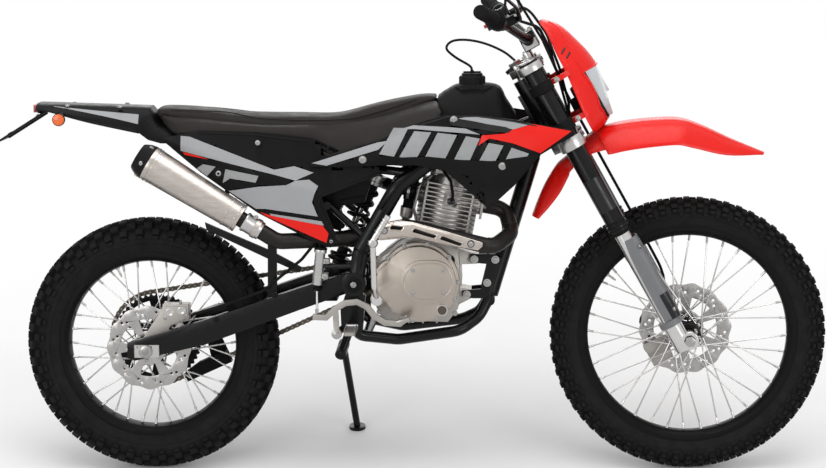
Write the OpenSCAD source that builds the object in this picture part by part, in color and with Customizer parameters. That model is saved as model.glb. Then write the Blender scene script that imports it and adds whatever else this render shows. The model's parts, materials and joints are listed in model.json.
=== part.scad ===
// Off-road motorcycle with an air-cooled single-cylinder engine, parked on its side stand.
// It is drawn upright with X forward, Y to the left, Z up and the rear axle over the origin.
// parked() leans it over and puts the origin on the ground under the middle of the bike.
// The steered parts are drawn in the head frame: z along the steering axis, x forward of it.

/* [Stance] */
// Lean towards the side stand, degrees
lean = 10; // [8:0.5:12]
// Height of the middle of the head pipe
head_z = 927; // [915:1:940]
// Middle of the head pipe ahead of the rear axle
head_x = 996; // [985:1:1010]
// Angle of the steering axis from the vertical
rake = 28.6; // [27:0.1:30]
// Fork legs ahead of the steering axis
clamp_offset = 32; // [28:1:36]
// Front axle ahead of the fork legs
axle_lead = 20; // [16:1:24]

/* [Wheels] */
// Radius of the front wheel over its lugs
front_r = 350; // [345:1:352]
// Radius of the rear wheel over its lugs
rear_r = 327; // [322:1:330]
// Radius of the front tyre's crown
front_crown = 42; // [40:1:45]
// Radius of the rear tyre's crown
rear_crown = 54; // [50:1:56]
// Height of the front tyre over its rim
front_section = 72; // [70:1:75]
// Height of the rear tyre over its rim
rear_section = 87; // [85:1:90]
// Height of the front lugs
front_lug = 10; // [7:1:12]
// Height of the rear lugs
rear_lug = 13; // [9:1:14]
// Steps of lugs around the front tyre
front_steps = 31; // [27:1:35]
// Steps of lugs around the rear tyre
rear_steps = 26; // [22:1:30]
// Spokes in each wheel
spoke_count = 36; // [28:4:36]
// Spoke radius
spoke_r = 1.9; // [1.6:0.1:2.2]
// Radius of the front brake disc
front_disc_r = 119; // [112:1:122]
// Radius of the rear brake disc
rear_disc_r = 109; // [102:1:112]
// Thickness of the brake discs
disc_t = 3; // [2.5:0.1:4]
// Axle radius
axle_r = 10; // [8:0.5:11]
// Gap between an axle and the hub that turns on it
running_gap = 0.3; // [0.2:0.05:0.5]

/* [Fork] */
// Distance of each fork leg from the middle plane
fork_y = 95; // [92:1:98]
// Radius of the fork's outer tubes
fork_tube_r = 25; // [24:0.5:27]
// Radius of the fork's sliding tubes
slider_r = 21.5; // [20:0.5:23]
// Length of a fork outer tube below the head's middle
tube_drop = 360; // [340:5:380]
// Height of the fork tops above the head's middle
tube_rise = 118; // [112:1:124]
// Upper clamp's middle above the head's middle
upper_clamp_z = 104; // [100:1:108]
// Lower clamp's middle below the head's middle
lower_clamp_z = 108; // [104:1:112]
// Thickness of the upper clamp
upper_clamp_t = 20; // [16:1:24]
// Thickness of the lower clamp
lower_clamp_t = 30; // [24:1:34]
// Steering turns this far each way, degrees
steer_stop = 42; // [35:1:45]

/* [Handlebar] */
// Half of the handlebar's width
bar_half = 400; // [385:5:415]
// Radius of the handlebar's thick middle
bar_r = 14.3; // [12:0.1:15]
// Radius of the handlebar's ends
bar_end_r = 11; // [10:0.1:12]
// Radius of the grips
grip_r = 16.5; // [15:0.5:18]
// Length of the grips
grip_len = 118; // [105:1:125]

/* [Chain drive] */
// Chain pitch
chain_pitch = 15.875; // [15.8:0.005:15.95]
// Teeth on the rear sprocket
rear_teeth = 48; // [44:1:50]
// Teeth on the front sprocket
front_teeth = 13; // [12:1:14]
// Distance of the chain from the middle plane
chain_y = 70; // [69:0.5:73]
// Front sprocket's centre ahead of the rear axle
drive_x = 608; // [602:1:614]
// Front sprocket's height
drive_z = 505; // [500:1:510]

/* [Engine] */
// Half width of the crankcase
case_half = 84; // [78:1:88]
// How far the right cover stands out from the crankcase
right_cover_t = 52; // [44:1:56]
// Forward lean of the cylinder, degrees
cylinder_lean = 11; // [8:0.5:14]
// Cooling fins on the cylinder
fin_count = 12; // [9:1:13]
// Distance from fin to fin
fin_pitch = 11; // [9.5:0.25:11.5]
// Thickness of a fin
fin_t = 3; // [2.5:0.25:4]

/* [Frame] */
// Swingarm pivot ahead of the rear axle
pivot_x = 532; // [526:1:538]
// Swingarm pivot height
pivot_z = 501; // [498:1:504]
// Radius of the down tube
down_tube_r = 20; // [18:0.5:22]
// Radius of the cradle tubes
cradle_r = 14; // [12:0.5:16]
// Middle of the swingarm's arms from the middle plane
arm_y = 104; // [102:1:108]
// Thickness of the swingarm's arms
arm_t = 26; // [22:1:28]

/* [Side stand] */
// Stand foot's distance from the middle plane
foot_y = 246; // [236:2:256]
// Radius of the stand's leg
stand_r = 9; // [8:0.5:11]
// Stand folds through this angle, degrees
stand_fold = 98; // [92:1:100]

/* [Hidden] */
$fn = 40;
seat_gap = 0.3;
fork_x = clamp_offset;
front_rim_r = front_r - front_section;
rear_rim_r = rear_r - rear_section;
axle_x = clamp_offset + axle_lead;
axle_z = (front_r - head_z - axle_x * sin(rake)) / cos(rake);
front_axle_x = head_x + axle_x * cos(rake) - axle_z * sin(rake);
tail_x = -377;
grip_end_z = 1185;
park_x = -(tail_x + front_axle_x + front_r) / 2;
park_y = -grip_end_z * sin(lean);
park_z = front_crown * (1 - cos(lean));
black = [0.08, 0.08, 0.085];
silver = [0.72, 0.72, 0.73];
steel = [0.55, 0.56, 0.58];
red = [0.85, 0.1, 0.07];
grey = [0.5, 0.52, 0.54];

// Frames of reference
module parked() {
  translate([park_x, park_y, park_z]) rotate([-lean, 0, 0]) children();
}
module head() {
  translate([head_x, 0, head_z]) rotate([0, -rake, 0]) children();
}
module both() {
  children();
  mirror([0, 1, 0]) children();
}
module at_rear_axle() {
  translate([0, 0, rear_r]) children();
}
module at_front_axle() {
  head() translate([axle_x, 0, axle_z]) children();
}
// A cylinder along Y between two Y values
module across(r, y1, y2) {
  translate([0, max(y1, y2), 0]) rotate([90, 0, 0]) cylinder(r = r, h = abs(y2 - y1));
}
// A side view drawn in XZ and given thickness from y1 to y2
module slab(y1, y2) {
  translate([0, max(y1, y2), 0]) rotate([90, 0, 0]) linear_extrude(abs(y2 - y1)) children();
}
function unit(v) = v / norm(v);
module rod(p, q, r, r2 = undef) {
  d = q - p;
  translate(p) rotate([0, acos(d.z / norm(d)), atan2(d.y, d.x)])
    cylinder(r1 = r, r2 = is_undef(r2) ? r : r2, h = norm(d));
}

// Skins over rings of points, each ring with the same number of points
function ring_centre(r) = [for (k = [0:2]) let(s = [for (p = r) p[k]]) s * [for (p = r) 1] / len(r)];
function ring_area(r) = let(c = ring_centre(r), v = [for (i = [0:len(r) - 1])
  cross(r[i] - c, r[(i + 1) % len(r)] - c)]) [for (k = [0:2]) [for (p = v) p[k]] * [for (p = v) 1]];
module skin(rings) {
  m = len(rings);
  n = len(rings[0]);
  along = ring_centre(rings[1]) - ring_centre(rings[0]);
  ahead = ring_area(rings[0]) * along > 0;
  used = ahead ? rings : [for (i = [m - 1:-1:0]) rings[i]];
  polyhedron(points = [for (r = used) each r],
    faces = concat([[for (j = [0:n - 1]) j]],
      [for (i = [0:m - 2]) for (j = [0:n - 1]) let(a = i * n + j, b = i * n + (j + 1) % n)
        each [[a, a + n, b + n], [a, b + n, b]]],
      [[for (j = [n - 1:-1:0]) (m - 1) * n + j]]));
}
// A path with its corners rounded to radius R by arcs of a few steps
function corner(a, b, c, R, steps) =
  let(u = unit(b - a), w = unit(c - b), th = acos(max(-1, min(1, u * w))))
  th < 2 ? [b] :
  let(v = unit(w - (u * w) * u), t = min(R * tan(th / 2), 0.48 * norm(b - a), 0.48 * norm(c - b)),
    q = t / tan(th / 2), o = b - u * t + v * q)
  [for (k = [0:steps]) o - v * q * cos(th * k / steps) + u * q * sin(th * k / steps)];
function rounded(p, R, steps = 4) = [p[0], for (i = [1:1:len(p) - 2])
  each corner(p[i - 1], p[i], p[i + 1], R, steps), p[len(p) - 1]];
function tangents(p) = [for (i = [0:len(p) - 1])
  unit(p[min(i + 1, len(p) - 1)] - p[max(i - 1, 0)])];
function carried(t, u0) = [for (i = 0, u = unit(u0 - (u0 * t[0]) * t[0]); i < len(t);
  i = i + 1, u = i < len(t) ? unit(u - (u * t[i]) * t[i]) : u) u];
// A tube of half widths ra and rb along a path; side is the direction of ra at the start
module tube(path, ra, rb = undef, side = [0, 1, 0], sides = 12) {
  t = tangents(path);
  u = carried(t, side);
  r2 = is_undef(rb) ? ra : rb;
  skin([for (i = [0:len(path) - 1]) let(w = cross(t[i], u[i]))
    [for (k = [0:sides - 1]) let(a = (k + 0.5) * 360 / sides)
      path[i] + u[i] * ra * cos(a) + w * r2 * sin(a)]]);
}
// A rounded body lofted along X. Each row is x, z of the middle, half height, half width,
// width of the top as a share of the base
function blob_ring(row, n = 20, e = 0.62) = [for (k = [0:n - 1])
  let(a = (k + 0.5) * 360 / n, c = cos(a), s = sin(a), h = pow(abs(s), e) * sign(s),
    w = pow(abs(c), e) * sign(c)) [row[0], row[3] * w * (1 + (row[4] - 1) * (h + 1) / 2),
      row[1] + row[2] * h]];
module blob(rows, e = 0.62) {
  skin([for (r = rows) blob_ring(r, e = e)]);
}
// A curved sheet along a path in XZ. Each row is x, z, half width, drop of the edges
function sheet_normal(rows, i) = let(a = rows[max(i - 1, 0)], b = rows[min(i + 1, len(rows) - 1)],
  d = unit([b[0] - a[0], b[1] - a[1]])) [-d[1], d[0]];
function sheet_ring(row, nv, t, e) = let(us = [for (k = [-4:4]) k / 4]) concat(
  [for (u = us) let(h = -row[3] * pow(abs(u), e))
    [row[0] + nv[0] * h, row[2] * u, row[1] + nv[1] * h]],
  [for (k = [4:-1:-4]) let(u = k / 4, h = -row[3] * pow(abs(u), e) - t)
    [row[0] + nv[0] * h, row[2] * u, row[1] + nv[1] * h]]);
module sheet(rows, t, e = 2) {
  skin([for (i = [0:len(rows) - 1]) sheet_ring(rows[i], sheet_normal(rows, i), t, e)]);
}
// A side panel. Each row is x, z low, z high, y low, y middle, y high
module panel(rows, t) {
  skin([for (r = rows) let(zm = (r[1] + r[2]) / 2) [[r[0], r[3], r[1]], [r[0], r[4], zm],
    [r[0], r[5], r[2]], [r[0], r[5] - t, r[2]], [r[0], r[4] - t, zm], [r[0], r[3] - t, r[1]]]]);
}

// Outer face of such a panel at x, z
function row_at(rows, x) = let(i = [for (k = [0:len(rows) - 2]) if (x >= rows[k][0]
  && x <= rows[k + 1][0]) k][0], q = (x - rows[i][0]) / (rows[i + 1][0] - rows[i][0]))
  rows[i] + (rows[i + 1] - rows[i]) * q;
function panel_y(rows, x, z) = let(r = row_at(rows, x), h = (z - r[1]) / (r[2] - r[1]) * 2)
  h < 1 ? r[3] + (r[4] - r[3]) * h : r[4] + (r[5] - r[4]) * (h - 1);

// Wheels
// Half of a tyre's section from the middle out: 0 angle from the crown, 1 the lugs raise this
// point, 2 its lugs come this share of a step later round the wheel
TREAD = [[16, 1, 0], [38, 1, 0.5], [74, 1, 0.5], [100, 0, 0.5]];
lug_share = 0.55;
module tyre(R, crown, lug, rim_r, rim_half, steps) {
  mid = R - crown;
  edge = 0.03;
  half = lug_share / 2;
  bead = [(rim_r + seat_gap) / cos((half - edge) * 360 / steps), rim_half, 0.5];
  corners = [[-half - edge, lug], [edge - half, 0], [half - edge, 0], [half + edge, lug]];
  outward = function(low) concat([for (t = TREAD) let(w = crown - (t[1] == 1 ? low : lug))
    [mid + w * cos(t[0]), w * sin(t[0]), t[2]]], [bead]);
  ring = function(low) let(r = outward(low), n = len(r)) concat(
    [for (i = [n - 1:-1:0]) [r[i][0], -r[i][1], r[i][2]]], r);
  m = 2 * (len(TREAD) + 1);
  n = steps * len(corners);
  polyhedron(points = [for (k = [0:steps - 1]) for (c = corners) for (p = ring(c[1]))
    let(a = (k + c[0] + p[2]) * 360 / steps) [p[0] * cos(a), p[1], p[0] * sin(a)]],
    faces = [for (j = [0:n - 1]) for (i = [0:m - 1]) let(a = j * m + i, b = j * m + (i + 1) % m,
      c = ((j + 1) % n) * m + (i + 1) % m, d = ((j + 1) % n) * m + i) each [[a, c, b], [a, d, c]]]);
}
module rim(rim_r, half) {
  rotate([90, 0, 0]) rotate_extrude($fn = 96)
    polygon([[rim_r, -half], [rim_r, -half + 5], [rim_r - 10, -half + 6], [rim_r - 12, -half + 10],
      [rim_r - 12, half - 10], [rim_r - 10, half - 6], [rim_r, half - 5], [rim_r, half],
      [rim_r - 12, half - 1], [rim_r - 22, half - 9], [rim_r - 26, 9], [rim_r - 26, -9],
      [rim_r - 22, 9 - half], [rim_r - 12, 1 - half]]);
}
module hub(flange_r, flange_y, barrel_r, half) {
  difference() {
    union() {
      across(barrel_r, -half, half);
      for (s = [-1, 1]) across(flange_r, s * flange_y - 4, s * flange_y + 4);
    }
    across(axle_r + running_gap, -half - 1, half + 1);
  }
}
// Spokes run from the hub's flanges to the rim, half of them leaning each way round
module spokes(flange_r, flange_y, rim_r) {
  step = 360 / spoke_count;
  swing = 62;
  inner = flange_r + seat_gap + spoke_r;
  outer = rim_r - 26 - seat_gap - 0.6;
  for (k = [0:spoke_count - 1]) {
    s = k % 2 == 0 ? 1 : -1;
    lead = floor(k / 2) % 2 == 0 ? 1 : -1;
    a = k * step;
    b = a - lead * swing;
    y0 = s * (flange_y + lead * 3.2);
    rod([inner * cos(b), y0, inner * sin(b)], [outer * cos(a), s * 3.5, outer * sin(a)], spoke_r,
      $fn = 13);
  }
}
// A brake disc with a wavy edge, slots and open windows between its arms
module wave_disc(R, hub_r, waves, y) {
  depth = 2.5;
  slab(y - disc_t / 2, y + disc_t / 2) difference() {
    polygon([for (k = [0:waves * 12 - 1]) let(a = k * 30 / waves, r = R - depth + depth
      * cos(a * waves)) [r * cos(a), r * sin(a)]]);
    circle(hub_r);
    for (k = [0:5]) rotate(k * 60 + 30) {
      intersection() {
        difference() {
          circle(R * 0.68);
          circle(R * 0.4);
        }
        polygon([[0, 0], [R * 1.2, -R * 0.42], [R * 1.2, R * 0.42]]);
      }
    }
    for (k = [0:waves - 1]) rotate(k * 360 / waves + 10) for (j = [0, 1])
      rotate(j * 7) translate([R * (0.79 + j * 0.07), 0]) circle(3.2, $fn = 16);
  }
}
// A sprocket whose tooth tips stay inside the chain's rollers
function pitch_r(teeth) = chain_pitch / (2 * sin(180 / teeth));
roller_r = 5.08;
module sprocket(teeth, y, t, hub_r) {
  tip = pitch_r(teeth) - roller_r - 0.8;
  root = tip - 5;
  slab(y - t / 2, y + t / 2) difference() {
    polygon([for (k = [0:teeth - 1]) for (c = [[0, tip], [0.22, tip], [0.5, root], [0.72, root]])
      let(a = (k + c[0]) * 360 / teeth) [c[1] * cos(a), c[1] * sin(a)]]);
    circle(hub_r);
    if (teeth > 30) for (k = [0:5]) rotate(k * 60) intersection() {
      difference() {
        circle(root - 12);
        circle(hub_r + 16);
      }
      polygon([[0, 0], [tip * 1.2, -tip * 0.4], [tip * 1.2, tip * 0.4]]);
    }
  }
}

module front_tyre() color(black) parked() at_front_axle() tyre(front_r, front_crown, front_lug,
  front_rim_r, 25, front_steps);
module rear_tyre() color(black) parked() at_rear_axle() tyre(rear_r, rear_crown, rear_lug,
  rear_rim_r, 31, rear_steps);
module front_rim() color(black) parked() at_front_axle() rim(front_rim_r, 25);
module rear_rim() color(black) parked() at_rear_axle() rim(rear_rim_r, 31);
module front_spokes() color(silver) parked() at_front_axle() spokes(33, 26, front_rim_r);
module rear_spokes() color(silver) parked() at_rear_axle() spokes(40, 26, rear_rim_r);
front_disc_y = 60;
rear_disc_y = -72;
module front_hub() color(black) parked() at_front_axle() union() {
  hub(33, 26, 21, 52);
  difference() {
    across(32, 48, front_disc_y - disc_t / 2 - seat_gap);
    across(axle_r + running_gap, 40, 70);
  }
}
module rear_hub() color(black) parked() at_rear_axle() union() {
  hub(40, 26, 27, 55);
  difference() {
    union() {
      across(38, rear_disc_y + disc_t / 2 + seat_gap, -50);
      across(42, chain_y - 16, chain_y - 3.5 - seat_gap);
    }
    across(axle_r + running_gap, -90, 90);
  }
}
module front_disc() color(silver) parked() at_front_axle() wave_disc(front_disc_r, 24, 14,
  front_disc_y);
module rear_disc() color(silver) parked() at_rear_axle() wave_disc(rear_disc_r, 24, 12, rear_disc_y);
module rear_sprocket() color(black) parked() at_rear_axle() sprocket(rear_teeth, chain_y, 7, 30);

// Fork and steering, drawn in the head frame
stem_r = 14;
module clamp_plate(z, t, front, back) {
  translate([0, 0, z - t / 2]) linear_extrude(t) difference() {
    union() {
      for (s = [-1, 1]) translate([fork_x, s * fork_y]) circle(fork_tube_r + 9);
      polygon([[fork_x - 10, -fork_y], [fork_x - 14, fork_y], [fork_x + front, fork_y],
        [fork_x + front, -fork_y]]);
      polygon([[-back, -22], [-back, 22], [fork_x, fork_y - 14], [fork_x, 14 - fork_y]]);
    }
    for (s = [-1, 1]) translate([fork_x, s * fork_y]) circle(fork_tube_r + seat_gap);
    circle(stem_r + seat_gap);
  }
}
module triple_clamps() color(silver) parked() head() {
  clamp_plate(upper_clamp_z, upper_clamp_t, 14, 24);
  clamp_plate(-lower_clamp_z, lower_clamp_t, 24, 22);
  translate([0, 0, -lower_clamp_z - lower_clamp_t / 2]) cylinder(r = stem_r, h = lower_clamp_z
    + upper_clamp_z + lower_clamp_t / 2 + upper_clamp_t / 2 + 8);
  for (s = [-1, 1]) translate([fork_x + 8, s * 45, upper_clamp_z + upper_clamp_t / 2])
    cylinder(r = 12, h = 26);
}
module fork_tubes() color(black) parked() head() both() translate([fork_x, fork_y, 0]) {
  difference() {
    union() {
      translate([0, 0, -tube_drop]) cylinder(r = fork_tube_r, h = tube_drop + tube_rise);
      translate([0, 0, -tube_drop]) cylinder(r = fork_tube_r + 2, h = 22);
    }
    translate([0, 0, -tube_drop - 1]) cylinder(r = slider_r + seat_gap, h = tube_drop);
  }
}
module fork_sliders() color(steel) parked() head() {
  both() translate([fork_x, fork_y, 0]) difference() {
    union() {
      translate([0, 0, axle_z + 40]) cylinder(r = slider_r, h = -axle_z - 60);
      translate([0, 0, axle_z - 16]) cylinder(r = slider_r + 2.5, h = 84);
      translate([axle_lead, 0, axle_z]) across(22, -25, 25);
      translate([0, -20, axle_z - 16]) cube([axle_lead, 40, 32]);
    }
    translate([axle_lead, 0, axle_z]) across(axle_r + seat_gap, -40, 40);
  }
  translate([axle_x - 57.7, fork_y - 20, axle_z - 30]) cube([30, 18, 36]);
}
module front_axle() color(steel) parked() at_front_axle() {
  across(axle_r, -fork_y - 30, fork_y + 30);
  across(16, fork_y + 25.3, fork_y + 32);
  for (s = [-1, 1]) difference() {
    across(17, s * 66, s * (fork_y - 25.3));
    across(axle_r - 1, s * 60, s * (fork_y - 20));
  }
}
// Each row is z above the axle, half width across, reach ahead of and behind the leg
module fork_guards() color(grey) parked() head() both() translate([fork_x, fork_y, axle_z]) {
  translate([0, 0, 54]) difference() {
    cylinder(r = slider_r + 9, h = 16 - seat_gap);
    translate([0, 0, -1]) cylinder(r = slider_r + 2.5 + seat_gap, h = 20);
  }
  skin([for (r = [[70, 20, 30, 12], [140, 26, 30, 12], [240, 27, 30, 10], [300, 22, 30, 4]])
    [[r[2] - 6, -r[1], r[0]], [r[2], -r[1] * 0.5, r[0]], [r[2] + 2, r[1] * 0.4, r[0]],
     [r[2] - 6, r[1] + 4, r[0]], [-r[3], r[1] + 6, r[0]], [-r[3], r[1] + 3, r[0]],
     [r[2] - 9, r[1] + 1, r[0]], [r[2] - 2, r[1] * 0.3, r[0]], [r[2] - 4, -r[1] * 0.5, r[0]],
     [r[2] - 8, 3 - r[1], r[0]]]]);
}

// Handlebar, in the head frame. Points on the left half: x, y, z
bar_dir = unit([-33.7, 210, 70.6]);
bar_end = [2.3, bar_half, 292.6];
BAR = [[59.6, 60, 166], [59, 90, 168], bar_end - bar_dir * 224, bar_end];
module handlebar() color(black) parked() head() {
  translate([BAR[0].x, 0, BAR[0].z]) across(bar_r, -80, 80);
  both() tube(rounded([BAR[0], BAR[1], BAR[2], BAR[3] - bar_dir * 2], 60), bar_end_r);
  both() translate([BAR[0].x, 0, 0]) difference() {
    translate([-20, 32, upper_clamp_z + upper_clamp_t / 2 + 26 + seat_gap])
      cube([40, 26, BAR[0].z + 17 - upper_clamp_z - upper_clamp_t / 2 - 26]);
    translate([0, 0, BAR[0].z]) across(bar_r - 1, 20, 70);
  }
}
module grips() color(black) parked() head() both() difference() {
  union() {
    rod(BAR[3] - bar_dir * grip_len, BAR[3], grip_r);
    rod(BAR[3] - bar_dir * grip_len, BAR[3] - bar_dir * (grip_len - 5), grip_r + 5);
  }
  rod(BAR[3] - bar_dir * (grip_len + 5), BAR[3] - bar_dir, bar_end_r + 0.6);
}
module bar_controls() color(black) parked() head() {
  for (s = [-1, 1]) {
    m = [1, s, 1];
    p = BAR[3] - bar_dir * (grip_len + 26);
    q = BAR[3] - bar_dir * (grip_len + 4);
    pm = [p.x, p.y * s, p.z];
    qm = [q.x, q.y * s, q.z];
    difference() {
      rod(pm, qm, s < 0 ? 24 : 18);
      rod(pm - (qm - pm), qm + (qm - pm), bar_end_r + 0.6);
    }
    // Perch, cylinder and lever
    c = BAR[3] - bar_dir * (grip_len + 60);
    cm = [c.x, c.y * s, c.z];
    difference() {
      translate(cm) union() {
        rod([0, 0, 0], qm - pm, 17);
        translate([4, -14, -14]) cube([30, 28, 22]);
      }
      rod(cm - (qm - pm), cm + (qm - pm) * 2, bar_end_r + 0.6);
    }
    tube(rounded([cm + [32, 0, -5], cm + [44, s * 20, -8], cm + [50, s * 90, 22], cm
      + [38, s * 175, 62]], 30), 4, 8, side = [1, 0, 0], sides = 8);
  }
}
// Lamp outline, grown by g
function lamp_outline(g) = [[-60 - g, 27 + g], [60 + g, 27 + g], [54 + g, -68], [33 + g, -100 - g],
  [-33 - g, -100 - g], [-54 - g, -68]];
// Mask: x, z, half width, sweep of the edges, from the top down
module headlight_mask() color(red) parked() head() {
  difference() {
    sheet([[118, 190, 40, 10], [146, 157, 58, 34], [166, 100, 72, 58], [177, 54, 82, 70],
      [180, -5, 90, 78], [164, -64, 92, 68], [143, -104, 84, 48], [126, -117, 60, 30]], 4);
    translate([70, 0, 0]) slab_x(130) polygon(lamp_outline(0.5));
  }
  for (z = [40, -70]) both() translate([fork_x + fork_tube_r + seat_gap, 78, z])
    cube([z > 0 ? 54 : 46, 12, 14]);
}
// A shape drawn in YZ and given thickness along X from zero
module slab_x(t) {
  rotate([90, 0, 90]) linear_extrude(t) children();
}
module headlamp() color([0.8, 0.82, 0.84]) parked() head() {
  intersection() {
    translate([120, 0, 0]) slab_x(60) polygon(lamp_outline(0));
    slab(-80, 80) polygon([[120, 40], [180, 40], [176, 10], [156, -104], [120, -104]]);
  }
  translate([90, 0, -36]) rotate([0, 90, 0]) cylinder(r1 = 40, r2 = 52, h = 31);
}
// Front fender: x, z, half width, drop of the edges, from the rear flap to the tip
FENDER = [[-147, -230, 36, 14], [-118, -205, 42, 28], [-79, -175, 50, 38], [-30, -147, 58, 34],
  [0, -140, 60, 26], [45, -127, 62, 30], [84, -118, 66, 44], [106, -116, 78, 58],
  [161, -129, 86, 60], [230, -157, 89, 58], [294, -191, 86, 55], [334, -233, 76, 50],
  [385, -302, 56, 34], [442, -373, 34, 14]];
module front_fender() color(red) parked() head() {
  sheet(FENDER, 4, 3);
  for (x = [-12, 14]) both() translate([fork_x + x, 26, -lower_clamp_z - lower_clamp_t / 2 - 14])
    cylinder(r = 7, h = 14 - seat_gap);
}
module front_caliper() color(silver) parked() at_front_axle() {
  difference() {
    translate([-116, front_disc_y - 24, -46]) cube([58, 50, 62]);
    across(front_disc_r + 3, front_disc_y - disc_t / 2 - 2, front_disc_y + disc_t / 2 + 2);
    translate([-60, 0, -60]) cube([80, 100, 30]);
  }
}
// Brake hose from the right lever down the left fork leg, in the head frame
HOSE = [[50, 181.8 - bar_half, 238], [52, 200 - bar_half, 238], [100, -150, 185], [96, -60, 120], [84, 30, 70],
  [76, 95, 0], [74, 116, -80], [74, 118, -350], [72, 116, -520], [62, 140, -575], [0, 142, -600],
  [-46, 112, -622], [-40, 72, -638], [-40, 72, -669.2]];
module brake_hose() color(black) parked() head() tube(rounded(HOSE, 60, 3), 4, sides = 8);

// Frame
// Main beam on the left, from the head pipe to the swingarm pivot
SPAR = [[head_x - 18, 18, head_z - 40], [860, 78, 836], [720, 112, 800], [645, 130, 745],
  [548, 134, 580], [pivot_x - 4, 134, pivot_z - 70]];
CRADLE = [[868, 24, 446], [842, 44, 400], [795, 84, 372], [640, 96, 352], [540, 124, 368],
  [pivot_x - 4, 134, pivot_z - 100]];
SUBFRAME = [[700, 104, 800], [560, 92, 862], [70, 48, 862]];
STRUT = [[566, 122, 610], [400, 100, 760], [270, 74, 852]];
shock_top = [590, 0, 785];
shock_low = [470, 0, 512];
coils = 9;
pedal_pivot = [489, 0, 378];
master_top = [449, -134, 580];
master_low = [440, -134, 499];
// Points on the left side where the side panels are held: x, z, y of the tube behind
PANEL_BOSSES = [[300, 858, 70], [470, 700, 100]];
// Bolts of the front engine plates: x, z. The first two have tubes from plate to plate
PLATE_BOLTS = [[884, 546], [863, 487], [831, 547], [811, 457]];
plate_out = 36;
module frame() color(black) parked() {
  head() difference() {
    union() {
      translate([0, 0, -88]) cylinder(r = 27, h = 172);
      translate([-34, -10, -60]) cube([24, 20, 110]);
    }
    translate([0, 0, -90]) cylinder(r = stem_r + 1, h = 180);
  }
  difference() {
    union() {
      rod([head_x + 6, 0, head_z - 50], [870, 0, 452], down_tube_r);
      both() tube(rounded(SPAR, 70), 15, 20);
    }
    head() translate([0, 0, -90]) cylinder(r = stem_r + 1, h = 180);
    head() translate([0, 0, -189]) cylinder(r = 60, h = 100);
  }
  both() tube(rounded(CRADLE, 60), cradle_r);
  both() tube(rounded(SUBFRAME, 60), 11);
  both() tube(STRUT, 9);
  translate([868, 0, 440]) across(cradle_r, -34, 34);
  translate([560, 0, 366]) across(12, -124, 124);
  translate([shock_top.x, 0, shock_top.z]) across(12, -104, 104);
  both() rod([shock_top.x, 100, shock_top.z], [680, 118, 776], 11);
  both() rod([shock_top.x, 96, shock_top.z], [580, 94, 858], 9);
  both() translate([pivot_x, 0, pivot_z]) across(30, 119, 151);
  translate([pivot_x, 0, pivot_z]) across(9, -150, 150);
  // Plates below the pivot that carry the pegs
  both() slab(119.5, 149) polygon([[500, 382], [552, 378], [560, 470], [520, 500], [498, 440]]);
  // Front engine plates and their cross tubes
  both() slab(30, plate_out) polygon([[799, 452], [824, 446], [868, 446], [900, 548], [882, 560],
    [820, 560], [822, 538], [862, 534], [846, 470], [800, 466]]);
  for (p = PLATE_BOLTS) translate([p[0], 0, p[1]]) both() across(8.5, plate_out, plate_out + 6);
  for (i = [0, 1]) translate([PLATE_BOLTS[i][0], 0, PLATE_BOLTS[i][1]])
    across(8, -plate_out, plate_out);
  // Seats for the side panels, brake pedal, rear master cylinder, silencer and side stand
  for (b = PANEL_BOSSES) both() translate([b[0], 0, b[1]])
    across(6, b[2], panel_y(SIDE, b[0], b[1]) - panel_t - 2.5);
  rod([522, -134, 400], [pedal_pivot.x, -134, pedal_pivot.z], 9);
  translate(pedal_pivot) across(9, -128, -149.5);
  rod([545, -134, 545], [(master_top.x + master_low.x) / 2 + 14.9, -134, 545], 7);
  rod([215, -62, 858], [215, -112, 724], 6);
  rod([522, 132, 400], stand_top - stand_axis * 38, 11);
  rod(stand_top - stand_axis * 44, stand_top - stand_axis * 10.3, 15);
  rod(stand_top - stand_axis * 12, stand_top + stand_axis * 11, 5);
  rod(stand_top + stand_axis * 10.3, stand_top + stand_axis * 14, 9);
}

// Engine
cyl_base = [748, 0, 604];
module along_cylinder() {
  translate(cyl_base) rotate([0, cylinder_lean, 0]) children();
}
module engine_case() color(silver) parked() {
  difference() {
    union() {
      slab(-case_half, case_half) polygon([[574, 452], [600, 400], [764, 394], [790, 428],
        [796, 500], [790, 596], [702, 616], [640, 590], [585, 548]]);
      slab(-29.7, 29.7) polygon([[780, 424], [820, 444], [822, 468], [780, 476]]);
      slab(-29.7, 29.7) polygon([[780, 532], [838, 534], [842, 558], [780, 574]]);
    }
    along_cylinder() translate([-90, -90, 0]) cube([180, 180, 60]);
    translate([drive_x, 0, drive_z]) across(50, 52, case_half + 1);
    slab(52, case_half + 1) polygon([[530, 420], [drive_x - 8, drive_z - 58],
      [drive_x - 8, drive_z + 58], [530, 560]]);
  }
  translate([drive_x, 0, drive_z]) {
    across(13, 50, chain_y + 14);
    sprocket(front_teeth, chain_y, 6, 8);
  }
}
fin_base = 12;
port_z = 98;
module engine_cylinder() color(silver) parked() along_cylinder() {
  difference() {
    union() {
      translate([0, 0, seat_gap]) cylinder(r = 58, h = fin_count * fin_pitch + 22);
      for (k = [0:fin_count - 1]) translate([0, 0, fin_base + k * fin_pitch])
        linear_extrude(fin_t) polygon([[-74, -52], [-60, -66], [60, -66], [76, -52], [76, 52],
          [60, 66], [-60, 66], [-74, 52]]);
    }
    translate([-12, -70, 74]) cube([36, 26, 40]);
  }
  translate([6, -30, 94]) across(10, 0, -28);
  translate([0, -22, port_z]) rotate([0, 90, 0]) cylinder(r = 26, h = 90);
  translate([-84, 0, port_z]) rotate([0, 90, 0]) cylinder(r = 24, h = 60);
}
// Right cover: circles of x, z, radius
COVER = [[694, 500, 100], [642, 502, 62]];
module cover_outline(g) {
  for (c = COVER) translate([c[0], c[1]]) circle(c[2] - g, $fn = 72);
}
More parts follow.
